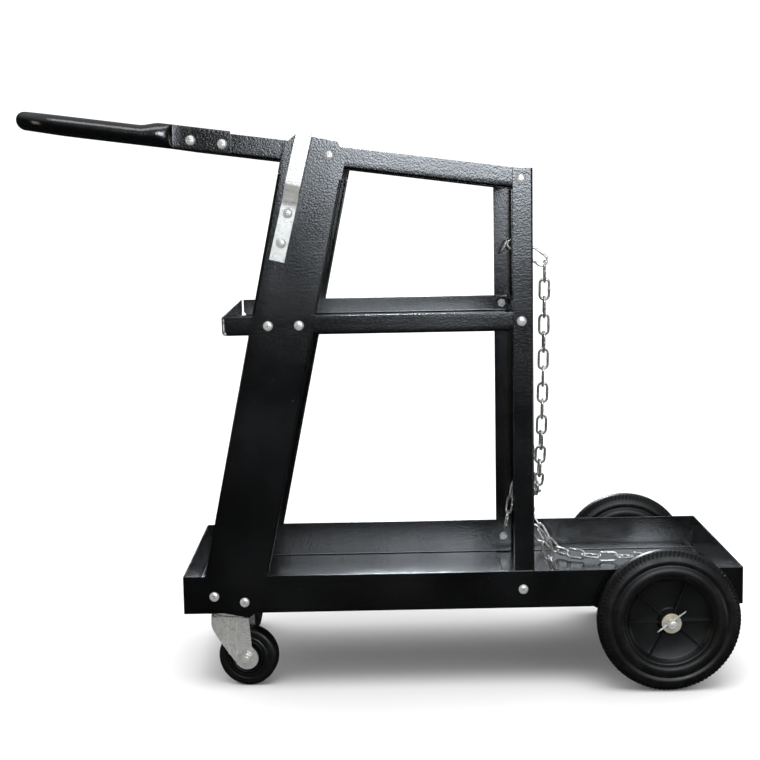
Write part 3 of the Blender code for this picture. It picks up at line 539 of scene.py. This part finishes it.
def build_hook():
    """Zinc strip: flat foot with two bolts, an outward jog and a plain upright blade with a round tip."""
    lean = atan(0.25)
    start = (-0.1330, 0.5480)
    half, thickness = 0.0095, 0.003
    tip, jog = 0.1565, 0.0240
    section = [(share, 0) for share in (-1, -0.5, 0, 0.5, 1)]
    section += [(share, thickness) for share in (1, 0.5, 0, -0.5, -1)]
    knots = [(0.0, 0.0), (0.030, 0.0), (0.060, 0.0), (0.0715, 0.0002), (0.0765, 0.0018), (0.0800, 0.0052),
             (0.0825, 0.0100), (0.0852, 0.0160), (0.0888, 0.0212), (0.0940, 0.0236), (0.1000, jog),
             (0.1250, jog), (tip, jog)]
    curve = smooth_path([(s, 0, out) for s, out in knots], 5)
    stations = [(point.x, point.z) for point in curve]

    def place(along, across, outward):
        x = start[0] + along * sin(lean) + across * cos(lean)
        z = start[1] + along * cos(lean) - across * sin(lean)
        return Vector((x, -(HOOK_Y + outward), z))

    rings = []
    count = len(stations)
    for index, (along, out) in enumerate(stations):
        before = stations[max(index - 1, 0)]
        after = stations[min(index + 1, count - 1)]
        ahead = Vector((after[0] - before[0], after[1] - before[1])).normalized()
        normal = Vector((-ahead.y, ahead.x))
        rings.append([place(along + normal.x * lift, half * share, out + normal.y * lift)
                      for share, lift in section])
    for angle in np.linspace(8, 84, 9):
        turn = radians(angle)
        reach, width = tip + half * sin(turn), half * cos(turn)
        rings.append([place(reach, width * share, jog + lift) for share, lift in section])
    strip = skin(bmesh.new(), rings)
    made = mesh_object("torch_hook_strip", strip, ZINC, "frame", ["torch_hook"], 40)
    bevel(made, 0.0005, 40)


# ---------------------------------------------------------------- fasteners


def upright_place(a, b, h):
    return (a, b, h)


def head_mesh():
    """Truss head with a cross recess; its seat is at height 0 and it rises along +Z."""
    data = bmesh.new()
    profile = [(0.0, 0.0), (0.0059, 0.0), (0.0061, 0.0003), (0.0060, 0.0009), (0.0055, 0.0017),
               (0.0046, 0.0024), (0.0034, 0.0028), (0.0019, HEAD_HEIGHT), (0.0, HEAD_HEIGHT)]
    lathe(data, profile, 32, upright_place, closed=False)
    bmesh.ops.remove_doubles(data, verts=data.verts, dist=MERGE)
    arm, reach, deep = 0.00060, 0.0031, 0.0011
    outline = []
    for u, v in ((1, 0), (0, 1), (-1, 0), (0, -1)):
        outline += [(reach * u + arm * v, reach * v - arm * u), (reach * u - arm * v, reach * v + arm * u),
                    (arm * (u - v), arm * (u + v))]
    rings = [[Vector((u * 0.45, v * 0.45, deep)) for u, v in outline],
             [Vector((u * 1.05, v * 1.05, HEAD_HEIGHT + 0.0010)) for u, v in outline]]
    head = boolean(data, skin(bmesh.new(), rings), "DIFFERENCE", "bolt_head_blank")
    head.name = "bolt_head"
    shade(head, 38)
    head.materials.clear()
    head.materials.append(ZINC)
    return head


def nut_mesh(across=0.005, height=0.0036, thread=0.003, stick=0.0014):
    """Chamfered hexagon nut with the thread end standing proud; seat at height 0, rising along +Z."""
    data = bmesh.new()
    corner = across / cos(pi / 6)
    rings = []
    for share, level in ((0.92, 0.0), (1.0, 0.0005), (1.0, height - 0.0006), (0.90, height)):
        ring = []
        for index in range(36):
            angle = 2 * pi * index / 36
            sector = (angle + pi / 6) % (pi / 3) - pi / 6
            flat = across / cos(sector)
            limit = corner * (0.93 if share < 1.0 else 1.0)
            radius = min(flat, limit) * (1.0 if share == 1.0 else 0.985)
            ring.append(Vector((radius * cos(angle), radius * sin(angle), level)))
        rings.append(ring)
    skin(data, rings)
    turns = 4
    profile = [(0.0, 0.0)]
    for turn in range(turns * 2 + 1):
        level = height + stick * turn / (turns * 2)
        profile.append((thread * (1.0 if turn % 2 == 0 else 0.90), level))
    profile += [(thread * 0.8, height + stick + 0.0003), (0.0, height + stick + 0.0003)]
    lathe(data, profile, 20, upright_place, closed=False)
    bmesh.ops.remove_doubles(data, verts=data.verts, dist=MERGE)
    mesh = to_mesh("nut", data)
    shade(mesh, 25)
    mesh.materials.append(ZINC)
    return mesh


def build_bolts():
    """A screw and a nut in place of every bolt node, each turned by chance."""
    head, nut = head_mesh(), nut_mesh()
    dice = random.Random(7)
    for name in sorted(NODES):
        if not name.startswith("bolt_"):
            continue
        low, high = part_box(name)
        centre = (low + high) / 2
        side = -1 if "near" in name else 1
        outer = low.y if side < 0 else high.y
        inner = high.y if side < 0 else low.y
        lean = Matrix.Rotation(radians(90) * -side, 4, "X")
        seat = Vector((centre.x, outer - side * HEAD_HEIGHT, centre.z))
        turn = Matrix.Rotation(dice.uniform(0, pi / 2), 4, "Z")
        set_in = Matrix.Translation(seat) @ lean @ turn
        piece(f"screw_{name[5:]}", head, ZINC, "frame", [name], set_in)
        inward = Matrix.Rotation(radians(90) * side, 4, "X")
        rest = Vector((centre.x, inner + side * NUT_REACH, centre.z))
        turn = Matrix.Rotation(dice.uniform(0, pi / 3), 4, "Z")
        set_in = Matrix.Translation(rest) @ inward @ turn
        piece(f"nut_{name[5:]}", nut, ZINC, "frame", (), set_in)


# ---------------------------------------------------------------- rear wheels


def wheel_place(side):
    """Position from two directions across a rear wheel's axle and one outwards along it."""
    return lambda a, b, h: (WHEEL_X + a, side * (WHEEL_Y + h), WHEEL_RADIUS + b)


def tyre_profile():
    """(radius, height, tread share) from the inner bead round the outside to the other bead."""
    half = [(0.0588, 0.0060, 0), (0.0588, 0.0126, 0), (0.0577, 0.0130, 0), (0.0574, 0.0139, 0),
            (0.0580, 0.0151, 0), (0.0594, 0.0161, 0), (0.0616, 0.0168, 0), (0.0640, 0.0170, 0),
            (0.0664, 0.0168, 0), (0.0686, 0.0161, 0), (0.0703, 0.0152, 0), (0.0714, 0.0145, 0),
            (0.0724, 0.0142, 0), (0.0734, 0.0145, 0), (0.0748, 0.0152, 0), (0.0766, 0.0156, 0),
            (0.0786, 0.0154, 0), (0.0806, 0.0147, 0), (0.0824, 0.0140, 0), (0.0838, 0.0136, 0.15),
            (0.0856, 0.0126, 0.5), (0.0874, 0.0107, 0.9), (0.0890, 0.0086, 1), (0.0899, 0.0070, 0.6),
            (0.0882, 0.0063, 0), (0.0882, 0.0052, 0), (0.0902, 0.0045, 0), (0.0905, 0.0015, 0)]
    return [(r, -h, t) for r, h, t in half] + [(r, h, t) for r, h, t in reversed(half)]


def build_tyre(label, side):
    """Tyre with notched tread blocks, staggered from one side to the other."""
    place = wheel_place(side)
    rings = []
    for block in range(TREAD_BLOCKS):
        for share, depth in ((0.0, 1.0), (0.10, 0.0), (0.52, 0.0), (0.62, 1.0)):
            ring = []
            for radius, height, tread in tyre_profile():
                skew = 0.5 if height > 0 else 0.0
                angle = 2 * pi * (block + share + skew) / TREAD_BLOCKS
                reach = radius - TREAD_DEPTH * tread * depth
                inset = height * (1 - 0.055 * tread * depth)
                ring.append(Vector(place(reach * cos(angle), reach * sin(angle), inset)))
            rings.append(ring)
    data = skin(bmesh.new(), rings, closed_rows=True)
    name = f"tyre_{label}"
    mesh_object(f"tread_{name}", data, RUBBER, f"rear_wheel_{label}", [name], 32)


def build_hub(label, side):
    """Moulded wheel centre: boss, thin web with ribs on both faces and a rounded rim."""
    place = wheel_place(side)
    bore = AXLE_RADIUS + 0.0004
    low, high = -0.019, WHEEL_HALF + 0.0015
    rim = [(0.0490, 0.0052), (0.0506, 0.0060), (0.0540, 0.0108), (0.0548, 0.0118), (0.0558, 0.0122),
           (0.0578, 0.0122), (0.0583, 0.0114)]
    profile = [(bore, low), (0.0128, low), (0.0135, low + 0.0008), (0.0150, -0.0065), (0.0160, -0.0052)]
    profile += [(r, -h) for r, h in rim] + list(reversed(rim))
    profile += [(0.0165, 0.0052), (0.0152, 0.0062), (0.0138, high - 0.0010), (0.0130, high), (bore, high)]
    data = lathe(bmesh.new(), profile, 96, place)
    for angle in RIB_ANGLES:
        turn = radians(angle if side < 0 else 180 - angle)
        for sign in (-1, 1):
            start, end = 0.0132, 0.0548
            rings = []
            for share in np.linspace(0, 1, 7):
                radius = start + (end - start) * share
                top = 0.0132 - 0.0018 * sin(pi * share)
                wide = 0.0008 + 0.0003 * (1 - share)
                ring = []
                for across, height in ((-wide * 1.5, 0.0045), (-wide, 0.0075), (-wide * 0.85, top - 0.0004),
                                       (-wide * 0.5, top), (wide * 0.5, top), (wide * 0.85, top - 0.0004),
                                       (wide, 0.0075), (wide * 1.5, 0.0045)):
                    a = radius * cos(turn) - across * sin(turn)
                    b = radius * sin(turn) + across * cos(turn)
                    ring.append(Vector(place(a, b, sign * height)))
                rings.append(ring)
            skin(data, rings)
    name = f"hub_{label}"
    mesh_object(f"ribbed_{name}", data, PLASTIC, f"rear_wheel_{label}", [name], 35)


def build_wheel_fastening(label, side):
    """Washer and split pin on the end of the axle."""
    place = wheel_place(side)
    low = WHEEL_HALF + 0.0015 + GAP
    high = low + WASHER_THICKNESS
    bore = AXLE_RADIUS + 0.0004
    profile = [(bore, low), (0.0120, low), (0.0124, low + 0.0003), (0.0124, high - 0.0004),
               (0.0120, high), (bore + 0.0004, high), (bore, high - 0.0004)]
    data = lathe(bmesh.new(), profile, 64, place)
    mesh_object(f"axle_washer_{label}", data, YELLOW, "frame", [f"washer_{label}"], 35)
    height = high + GAP + 0.0012
    turn = radians(36)
    data = bmesh.new()

    def spot(along, across, out):
        across += PIN_OFFSET
        a = along * cos(turn) - across * sin(turn)
        b = along * sin(turn) + across * cos(turn)
        return Vector(place(a, b, height + out))

    def leg_path(offset, spread, tip):
        """One leg of the pin, bent outwards from the wheel near its tip."""
        straight = [spot(along, offset, 0) for along in (-0.0165, -0.008, 0.0, 0.010)]
        return straight + [spot(0.016, offset, spread * 0.3), spot(tip, offset * 1.6, spread)]

    tube(data, leg_path(0.0004, 0.0012, 0.0235), PIN_WIRE, 10)
    tube(data, leg_path(-0.0004, -0.0008, 0.0215), PIN_WIRE, 10)
    eye = []
    for bend in np.radians(np.linspace(30, 330, 17)):
        eye.append(spot(PIN_EYE + 0.0022 * cos(bend), 0.0003 * sin(bend), 0.0013 * sin(bend)))
    tube(data, eye, PIN_WIRE, 10)
    mesh_object(f"split_pin_{label}", data, ZINC, "frame", [f"cotter_pin_{label}"], 50)


def build_axle():
    tip = [(0.0, AXLE_END_Y), (0.0043, AXLE_END_Y), (0.0049, AXLE_END_Y - 0.0002),
           (0.0057, AXLE_END_Y - 0.0012), (AXLE_RADIUS, AXLE_END_Y - 0.0018)]
    profile = [(r, -h) for r, h in tip] + list(reversed(tip))
    data = lathe(bmesh.new(), profile, 40, lambda a, b, h: (WHEEL_X + a, h, WHEEL_RADIUS + b), closed=False)
    mesh_object("rear_axle", data, ZINC, "frame", ["axle"], 35)


# ---------------------------------------------------------------- casters


def caster_matrix(side, turn):
    """Places caster coordinates: swivel axis at the origin, wheel trailing along +x."""
    return Matrix.Translation(Vector((CASTER_X, side * CASTER_Y, 0))) @ Matrix.Rotation(turn, 4, "Z")


def fork_silhouette(top):
    """Side view of the fork in (x, z): slanting front edge, round end at the axle, upright rear edge."""
    axle = (CASTER_TRAIL, CASTER_RADIUS)
    high = top + 0.002
    outline = [(0.0240, high), (-0.0252, high), (-0.0274, top - 0.0060), (-0.0272, top - 0.0130)]
    return outline + arc(axle, 0.0150, 205, 395, 20) + [(0.0272, 0.0530)]


def fork_wall(outward=0.0):
    """Plan of half the pressed fork, from the rear edge of a cheek round to the middle of the front."""
    cheek = 0.0172 + outward
    ridges = []
    for x in np.linspace(0.0365, FORK_SHOULDER, 95):
        bump = sum(0.0021 * np.exp(-((x - centre) / 0.0012) ** 2) for centre in FORK_RIDGES)
        step = 0.0010 * ease((FORK_RIDGES[0] - x) / 0.004)
        ridges.append((x, cheek - 0.0008 + bump + step))
    front = []
    for turn in np.radians(np.linspace(8, 90, 12)):
        front.append((FORK_SHOULDER - (0.0175 + outward) * sin(turn), cheek * max(cos(turn), 0.0) ** 0.75))
    return ridges + front


def fork_mesh(top):
    """Pressed steel fork: one folded wall cut to its side view, closed by a crown."""
    outer, inner = fork_wall(), fork_wall(-FORK_SHEET)
    plan = [(x, -y) for x, y in outer] + [(x, y) for x, y in reversed(outer[:-1])]
    hollow = [(x, -y) for x, y in inner] + [(x, y) for x, y in reversed(inner[:-1])]
    outline = plan + list(reversed(hollow))
    wall = [[Vector((x, y, z)) for x, y in outline] for z in np.linspace(0.018, top, 14)]
    side = prism(bmesh.new(), fork_silhouette(top), -0.03, 0.03, lambda u, v, w: (u, w, v))
    data = bmesh.new()
    data.from_mesh(boolean(skin(bmesh.new(), wall), side, "INTERSECT", "fork_wall"))
    crown = [(x, y) for x, y in plan if x < 0.0240]
    levels = ((0.985, top - 0.0026), (1.0, top - 0.0018), (0.995, top - 0.0006), (0.965, top))
    return skin(data, [[Vector((x * scale, y * scale, z)) for x, y in crown] for scale, z in levels])


def build_caster(label, side):
    """Top plate, ball race, pressed fork, wheel and axle bolt, from the tray down."""
    turned = caster_matrix(side, CASTER_TURNS[label])
    square = caster_matrix(side, 0)
    top = TRAY_BOTTOM - GAP
    low = top - PLATE_THICKNESS
    data = prism(bmesh.new(), rounded_box_outline(0.031, 0.026, 0.005), low, top,
                 lambda u, v, w: square @ Vector((u, v, w)))
    made = mesh_object(f"top_plate_{label}", data, ZINC, "frame", [f"caster_plate_{label}"], 35)
    bevel(made, 0.0004)
    race_top = low - GAP
    race = [(0.0, 0.0), (0.0222, 0.0), (0.0236, 0.0004), (0.0245, 0.0014), (0.0243, 0.0026),
            (0.0232, 0.0032), (0.0222, 0.0034), (0.0205, 0.0038), (0.0205, 0.0044), (0.0240, 0.0050),
            (0.0246, 0.0058), (0.0240, 0.0068), (0.0222, 0.0074), (0.0, 0.0075)]
    profile = [(radius, race_top - down) for radius, down in race]
    data = lathe(bmesh.new(), profile, 56, lambda a, b, h: turned @ Vector((a, b, h)), closed=False)
    mesh_object(f"ball_race_{label}", data, ZINC, "frame", [f"caster_race_{label}"], 40)
    data = fork_mesh(race_top - RACE_DROP)
    bmesh.ops.transform(data, matrix=turned, verts=data.verts)
    made = mesh_object(f"pressed_fork_{label}", data, ZINC, f"caster_swivel_{label}",
                       [f"caster_fork_{label}"], 32)
    bevel(made, 0.0004, 32)
    build_caster_wheel(label, turned)
    build_caster_bolt(label, turned)


def build_caster_wheel(label, turned):
    """Solid tyre on a plastic core."""
    def place(a, b, h):
        return turned @ Vector((CASTER_TRAIL + a, h, CASTER_RADIUS + b))

    side_view = [(0.0218, 0.0016), (0.0226, 0.0006), (0.0250, 0.0004), (0.0262, 0.0012), (0.0275, 0.0012),
                 (0.0286, 0.0002), (0.0328, 0.0001), (0.0350, 0.0005), (0.0368, 0.0020), (0.0378, 0.0040),
                 (CASTER_RADIUS, 0.0065)]
    side_view = [(radius, CASTER_HALF - inset) for radius, inset in side_view]
    profile = [(r, -h) for r, h in side_view] + list(reversed(side_view))
    data = lathe(bmesh.new(), profile, 72, place)
    body = f"caster_wheel_{label}"
    mesh_object(f"solid_caster_tyre_{label}", data, RUBBER, body, [f"caster_tyre_{label}"], 38)
    core = [(0.0044, 0.0142), (0.0088, 0.0142), (0.0095, 0.0136), (0.0098, 0.0100), (0.0110, 0.0082),
            (0.0165, 0.0078), (0.0180, 0.0088), (0.0190, 0.0104), (0.0203, 0.0108), (0.0212, 0.0100)]
    profile = [(r, -h) for r, h in core] + list(reversed(core))
    data = lathe(bmesh.new(), profile, 64, place)
    replaced = [f"caster_core_{label}"]
    mesh_object(f"caster_wheel_core_{label}", data, PLASTIC, body, replaced, 38)


def build_caster_bolt(label, turned):
    """Hexagon head, nut and round bolt through the fork."""
    seat = CASTER_HALF + 0.0032 + FORK_SHEET + GAP
    data = bmesh.new()

    def place(a, b, h):
        return turned @ Vector((CASTER_TRAIL + a, h, CASTER_RADIUS + b))

    def hexagon(levels, sign):
        rings = []
        for share, level in levels:
            ring = []
            for index in range(36):
                angle = 2 * pi * index / 36
                sector = (angle + pi / 6) % (pi / 3) - pi / 6
                radius = min(0.0065 / cos(sector), 0.0075 * share)
                ring.append(place(radius * cos(angle), radius * sin(angle), sign * level))
            rings.append(ring)
        skin(data, rings)

    hexagon(((0.93, seat), (1.0, seat + 0.0008), (1.0, seat + 0.0042), (0.90, seat + 0.0052)), -1)
    hexagon(((0.93, seat), (1.0, seat + 0.0008), (1.0, seat + 0.0036), (0.90, seat + 0.0046)), 1)
    tip, end = -seat - 0.0080, seat + 0.0020
    profile = [(0.0, tip), (0.0033, tip), (0.0040, tip + 0.0008), (0.0040, end), (0.0, end)]
    lathe(data, profile, 28, place, closed=False)
    mesh_object(f"caster_axle_bolt_{label}", data, ZINC, f"caster_swivel_{label}",
                [f"caster_bolt_{label}"], 30)


# ---------------------------------------------------------------- chains


def link_path(half_length, half_width):
    """Centre line of a welded link, in (along, across)."""
    bend = half_width
    straight = half_length - bend
    path = [(straight + bend * cos(a), bend * sin(a)) for a in np.linspace(-pi / 2, pi / 2, 11)]
    path += [(share * straight, bend) for share in (0.5, 0.12, 0.0, -0.12, -0.5)]
    path += [(-straight + bend * cos(a), bend * sin(a)) for a in np.linspace(pi / 2, 3 * pi / 2, 11)]
    path += [(share * straight, -bend) for share in (-0.4, 0.4)]
    return path


def add_link(data, centre, ahead, across, pitch=LINK_PITCH, wire=LINK_WIRE, half_width=LINK_HALF_WIDTH):
    """One round-wire link with a small weld swelling on one straight side."""
    centre, ahead = Vector(centre), Vector(ahead).normalized()
    across = Vector(across)
    across = (across - ahead * across.dot(ahead)).normalized()
    path = link_path(pitch / 2 + wire, half_width - wire)
    radii = [wire] * len(path)
    for index, share in ((12, 1.08), (13, 1.22), (14, 1.08)):
        radii[index] = wire * share
    points = [centre + ahead * u + across * v for u, v in path]
    tube(data, points, radii, 12, closed=True, up=ahead.cross(across))


def chain_links(data, joints, up, first_wide, wobble=0.0, seed=1):
    """Interlocked links between the joints, each a quarter turn from the last."""
    dice = random.Random(seed)
    side = Vector(up)
    for index, (start, end) in enumerate(zip(joints, joints[1:])):
        start, end = Vector(start), Vector(end)
        ahead = (end - start).normalized()
        side = (side - ahead * side.dot(ahead)).normalized()
        other = ahead.cross(side)
        wide = side if (index % 2 == 0) == first_wide else other
        narrow = other if wide is side else side
        turn = dice.uniform(-wobble, wobble)
        add_link(data, (start + end) / 2, ahead, wide * cos(turn) + narrow * sin(turn))


def resample(points, pitch):
    """Points along a path at equal distances as near to the pitch as fits a whole number of links."""
    points = np.asarray([tuple(point) for point in points], dtype=float)
    steps = np.linalg.norm(np.diff(points, axis=0), axis=1)
    run = np.concatenate(([0], np.cumsum(steps)))
    links = int(round(run[-1] / pitch))
    dust_and_glints = np.linspace(0, run[-1], links + 1)
    return np.stack([np.interp(dust_and_glints, run, points[:, axis]) for axis in range(3)], axis=1)


def hanging_curve(span, drop, count=160):
    """Catenary as places across and heights down, for the scale that gives this drop."""
    low, high = 0.01, 2.0
    for _ in range(80):
        scale = (low + high) / 2
        sag = scale * (np.cosh(span / 2 / scale) - 1)
        low, high = (scale, high) if sag > drop else (low, scale)
    across = np.linspace(-span / 2, span / 2, 4001)
    down = scale * (np.cosh(span / 2 / scale) - np.cosh(across / scale))
    run = np.concatenate(([0], np.cumsum(np.hypot(np.diff(across), np.diff(down)))))
    dust_and_glints = np.linspace(0, run[-1], count)
    return np.interp(dust_and_glints, run, across), np.interp(dust_and_glints, run, down)


def anchor_links(label, side, slot_z):
    """A toggle link through the slot in the flange, with a short link hooked in front of it."""
    tilt = radians(-38)
    data = bmesh.new()
    ahead = Vector((cos(tilt), 0, sin(tilt)))
    centre = Vector((FLANGE_X + 0.0062, side * SLOT_Y, slot_z - 0.0050))
    add_link(data, centre, ahead, (sin(tilt), 0, -cos(tilt)), pitch=TOGGLE_PITCH, half_width=0.0086)
    front = centre - ahead * 0.0170
    add_link(data, front + Vector((-0.0045, 0.0, -0.0085)), (-0.45, 0, -0.89), (0, 1, 0), pitch=0.0170)
    return data


def build_upper_chain():
    """Two anchor links on the frame and the chain that hangs between them."""
    for label, side in SIDES:
        data = anchor_links(label, side, UPPER_SLOT_Z)
        mesh_object(f"toggle_link_{label}", data, CHAIN, "frame", [f"anchor_link_{label}"], 60)
    across, down = hanging_curve(2 * SLOT_Y, UPPER_CHAIN_Z - CHAIN_DROP_Z)
    points = [(CHAIN_X, y, UPPER_CHAIN_Z - d) for y, d in zip(across, down)]
    joints = resample(points, LINK_PITCH)
    data = bmesh.new()
    chain_links(data, joints, (1, 0, 0), False, radians(7), 3)
    mesh_object("upper_chain_links", data, CHAIN, "upper_chain", ["upper_chain"], 60)


def marked_links(data, joints, wide, wobble, seed):
    """Links between given joints; wide holds each link's broad direction."""
    dice = random.Random(seed)
    for index, (start, end) in enumerate(zip(joints, joints[1:])):
        start, end = Vector(start), Vector(end)
        ahead = (end - start).normalized()
        side = Vector(wide[index % len(wide)])
        side = (side - ahead * side.dot(ahead)).normalized()
        turn = dice.uniform(-wobble, wobble)
        add_link(data, (start + end) / 2, ahead, side * cos(turn) + ahead.cross(side) * sin(turn))


def build_lower_chain():
    """Slack chain: down from the near slot, round the platform and back up to the far slot."""
    flat = PLATFORM_TOP + LINK_HALF_WIDTH * 0.62 + 0.0010
    far_end = Vector((0.3431, 0.0651, flat + 0.001))
    near_end = Vector((0.2170, -0.1215, 0.1290))
    loop = smooth_path([near_end, (0.2290, -0.1170, flat + 0.002), (0.2480, -0.1050, flat),
                        (0.2900, -0.0830, flat), (0.3350, -0.0560, flat), (0.3700, -0.0100, flat),
                        (0.3760, 0.0300, flat), (0.3630, 0.0570, flat), far_end])
    data = bmesh.new()
    chain_links(data, resample(loop, LINK_PITCH), (0.4, 0, 1), True, radians(16), 5)
    strand = [far_end, (0.3202, 0.0622, flat + 0.003), (0.2975, 0.0655, flat + 0.002),
              (0.2755, 0.0722, flat + 0.003), (0.2555, 0.0835, flat + 0.004), (0.2412, 0.1000, 0.1150),
              (0.2290, 0.1150, 0.1275), (0.2190, 0.1250, 0.1455), (0.2085, 0.1310, 0.1650),
              (0.1975, 0.1340, 0.1850)]
    flats = [(0, 1, 0), (0.1, 0.25, 1), (0, 1, 0.1), (0.1, 0.3, 1), (0, 0.6, -0.8), (0.4, 0.7, 0.6),
             (0.6, -0.7, 0.3)]
    marked_links(data, strand, flats, radians(6), 4)
    near = [(0.1990, -0.1335, 0.1840), (0.2035, -0.1315, 0.1620), (0.2105, -0.1270, 0.1410), near_end]
    marked_links(data, near, [(1, 0.35, 0.2), (0.3, -1, 0.2), (1, 0.3, 0.4)], radians(5), 6)
    for side, reach in ((-1, 0.0225), (1, 0.0195)):
        tilt = radians(-50)
        ahead = Vector((cos(tilt), 0, sin(tilt)))
        centre = Vector((FLANGE_X + 0.0050, side * SLOT_Y, LOWER_SLOT_Z - 0.0070))
        add_link(data, centre, ahead, (sin(tilt), 0.25, -cos(tilt)), pitch=reach)
    tail = [(0.1830, 0.1330, 0.2080), (0.1788, 0.1320, 0.1875), (0.1748, 0.1310, 0.1650),
            (0.1700, 0.1300, 0.1425)]
    marked_links(data, tail, [(0.5, 1, 0.1), (0.55, -0.9, 0), (0.42, 1, 0.1)], radians(6), 9)
    mesh_object("lower_chain_links", data, CHAIN, "frame", ["lower_chain"], 60)


# ---------------------------------------------------------------- floor, light and camera


def build_stage():
    """Plain pale floor that stays out of reflections."""
    data = bmesh.new()
    bmesh.ops.create_grid(data, x_segments=1, y_segments=1, size=FLOOR_SIZE)
    mesh = bpy.data.meshes.new("studio_floor")
    data.to_mesh(mesh)
    data.free()
    floor = bpy.data.objects.new("studio_floor", mesh)
    bpy.context.scene.collection.objects.link(floor)
    g = Graph("pale_floor")
    g.set(Base_Color=(0.93, 0.93, 0.93, 1.0), Roughness=0.9, Specular_IOR_Level=0.0)
    mesh.materials.append(g.material)
    floor.visible_glossy = False


def reflected_panel(name, place, aim, size, power, colour=(1, 1, 1)):
    """Soft panel that shows in reflections only."""
    lamp = bpy.data.lights.new(name, "AREA")
    lamp.shape = "RECTANGLE"
    lamp.size, lamp.size_y = size
    lamp.energy = power * size[0] * size[1]
    lamp.color = colour
    made = bpy.data.objects.new(name, lamp)
    made.location = place
    direction = Vector(aim) - Vector(place)
    made.rotation_euler = direction.to_track_quat("-Z", "Y").to_euler()
    made.visible_diffuse = False
    made.visible_camera = False
    bpy.context.scene.collection.objects.link(made)


def build_world():
    """White backdrop, an even bright dome for soft light and dim surroundings in reflections."""
    world = bpy.data.worlds.new("studio")
    world.use_nodes = True
    bpy.context.scene.world = world
    tree = world.node_tree
    tree.nodes.clear()

    def background(strength, colour=(1.0, 1.0, 1.0, 1.0)):
        node = tree.nodes.new("ShaderNodeBackground")
        node.inputs["Color"].default_value = colour
        node.inputs["Strength"].default_value = strength
        return node

    def choose(flag, otherwise, chosen):
        blend = tree.nodes.new("ShaderNodeMixShader")
        tree.links.new(flag, blend.inputs[0])
        tree.links.new(otherwise.outputs[0], blend.inputs[1])
        tree.links.new(chosen.outputs[0], blend.inputs[2])
        return blend

    where = tree.nodes.new("ShaderNodeTexCoord")
    split = tree.nodes.new("ShaderNodeSeparateXYZ")
    tree.links.new(where.outputs["Generated"], split.inputs[0])
    sky = tree.nodes.new("ShaderNodeMapRange")
    sky.interpolation_type = "SMOOTHSTEP"
    tree.links.new(split.outputs["Z"], sky.inputs["Value"])
    for key, value in (("From Min", 0.12), ("From Max", 0.90), ("To Min", 0.014), ("To Max", 0.60)):
        sky.inputs[key].default_value = value
    around = background(1.0, (0.90, 0.95, 1.0, 1.0))
    tree.links.new(sky.outputs["Result"], around.inputs["Strength"])
    ray = tree.nodes.new("ShaderNodeLightPath")
    lit = choose(ray.outputs["Is Glossy Ray"], background(0.95), around)
    seen = choose(ray.outputs["Is Camera Ray"], lit, background(1.15))
    out = tree.nodes.new("ShaderNodeOutputWorld")
    tree.links.new(seen.outputs[0], out.inputs[0])


def build_lights():
    """Two soft overhead keys, and panels that only show as sheen on the coat and the zinc."""
    for name, slant, energy, spread in (("key", 0.30, 1.3, 40), ("back_key", -0.60, 0.9, 60)):
        lamp = bpy.data.lights.new(name, "SUN")
        lamp.energy = energy
        lamp.angle = radians(spread)
        key = bpy.data.objects.new(name, lamp)
        key.rotation_euler = Vector((0.0, slant, -1.0)).to_track_quat("-Z", "Y").to_euler()
        key.visible_glossy = False
        bpy.context.scene.collection.objects.link(key)
    cool = (0.86, 0.93, 1.0)
    reflected_panel("sheen_high", (0.62, -3.0, 1.20), (0.62, 0.0, 1.20), (1.6, 1.0), 38.0, cool)
    reflected_panel("sheen_middle", (0.62, -3.0, 0.65), (0.62, 0.0, 0.65), (1.6, 0.10), 9.0, cool)
    reflected_panel("sheen_low", (0.62, -3.0, 0.51), (0.62, 0.0, 0.51), (1.6, 0.18), 1.5, cool)
    reflected_panel("overhead", (0.0, -1.6, 2.8), (0.0, 0.0, 0.4), (2.4, 1.0), 10.0)
    reflected_panel("tray_glow", (0.09, 3.2, 2.0), (0.05, 0.0, 0.10), (0.36, 1.4), 150.0, cool)
    reflected_panel("side_left", (-2.8, -1.3, 0.50), (0.0, -0.2, 0.40), (0.8, 1.1), 6.0, (1.0, 0.90, 0.72))
    reflected_panel("side_right", (2.9, -1.1, 0.10), (0.3, -0.2, 0.10), (0.9, 0.9), 9.0)


def build_camera():
    """View of the near side from about the height of the top shelf, looking slightly down."""
    pitch, yaw, roll = -0.1289, -0.00444, -0.01822
    level = Vector((cos(yaw), sin(yaw), 0))
    heading = Vector((-sin(yaw), cos(yaw), 0))
    forward = heading * cos(pitch) + Vector((0, 0, sin(pitch)))
    upward = heading * -sin(pitch) + Vector((0, 0, cos(pitch)))
    right = level * cos(roll) + upward * sin(roll)
    up = level * -sin(roll) + upward * cos(roll)
    turn = Matrix((right, up, -forward)).transposed().to_4x4()
    data = bpy.data.cameras.new("camera")
    data.lens = 72.22
    data.sensor_width = 36.0
    data.clip_end = 100.0
    camera = bpy.data.objects.new("camera", data)
    camera.matrix_world = Matrix.Translation(Vector((DATUM_X - 0.0169, -2.0323, 0.6418))) @ turn
    bpy.context.scene.collection.objects.link(camera)
    bpy.context.scene.camera = camera


# ---------------------------------------------------------------- assembly

build_camera()
build_world()
build_lights()
build_stage()
build_sheets()
build_handle()
build_hook()
build_bolts()
build_axle()
for side_name, side_sign in SIDES:
    build_tyre(side_name, side_sign)
    build_hub(side_name, side_sign)
    build_wheel_fastening(side_name, side_sign)
    build_caster(side_name, side_sign)
build_upper_chain()
build_lower_chain()
bpy.context.scene.view_settings.view_transform = "Standard"
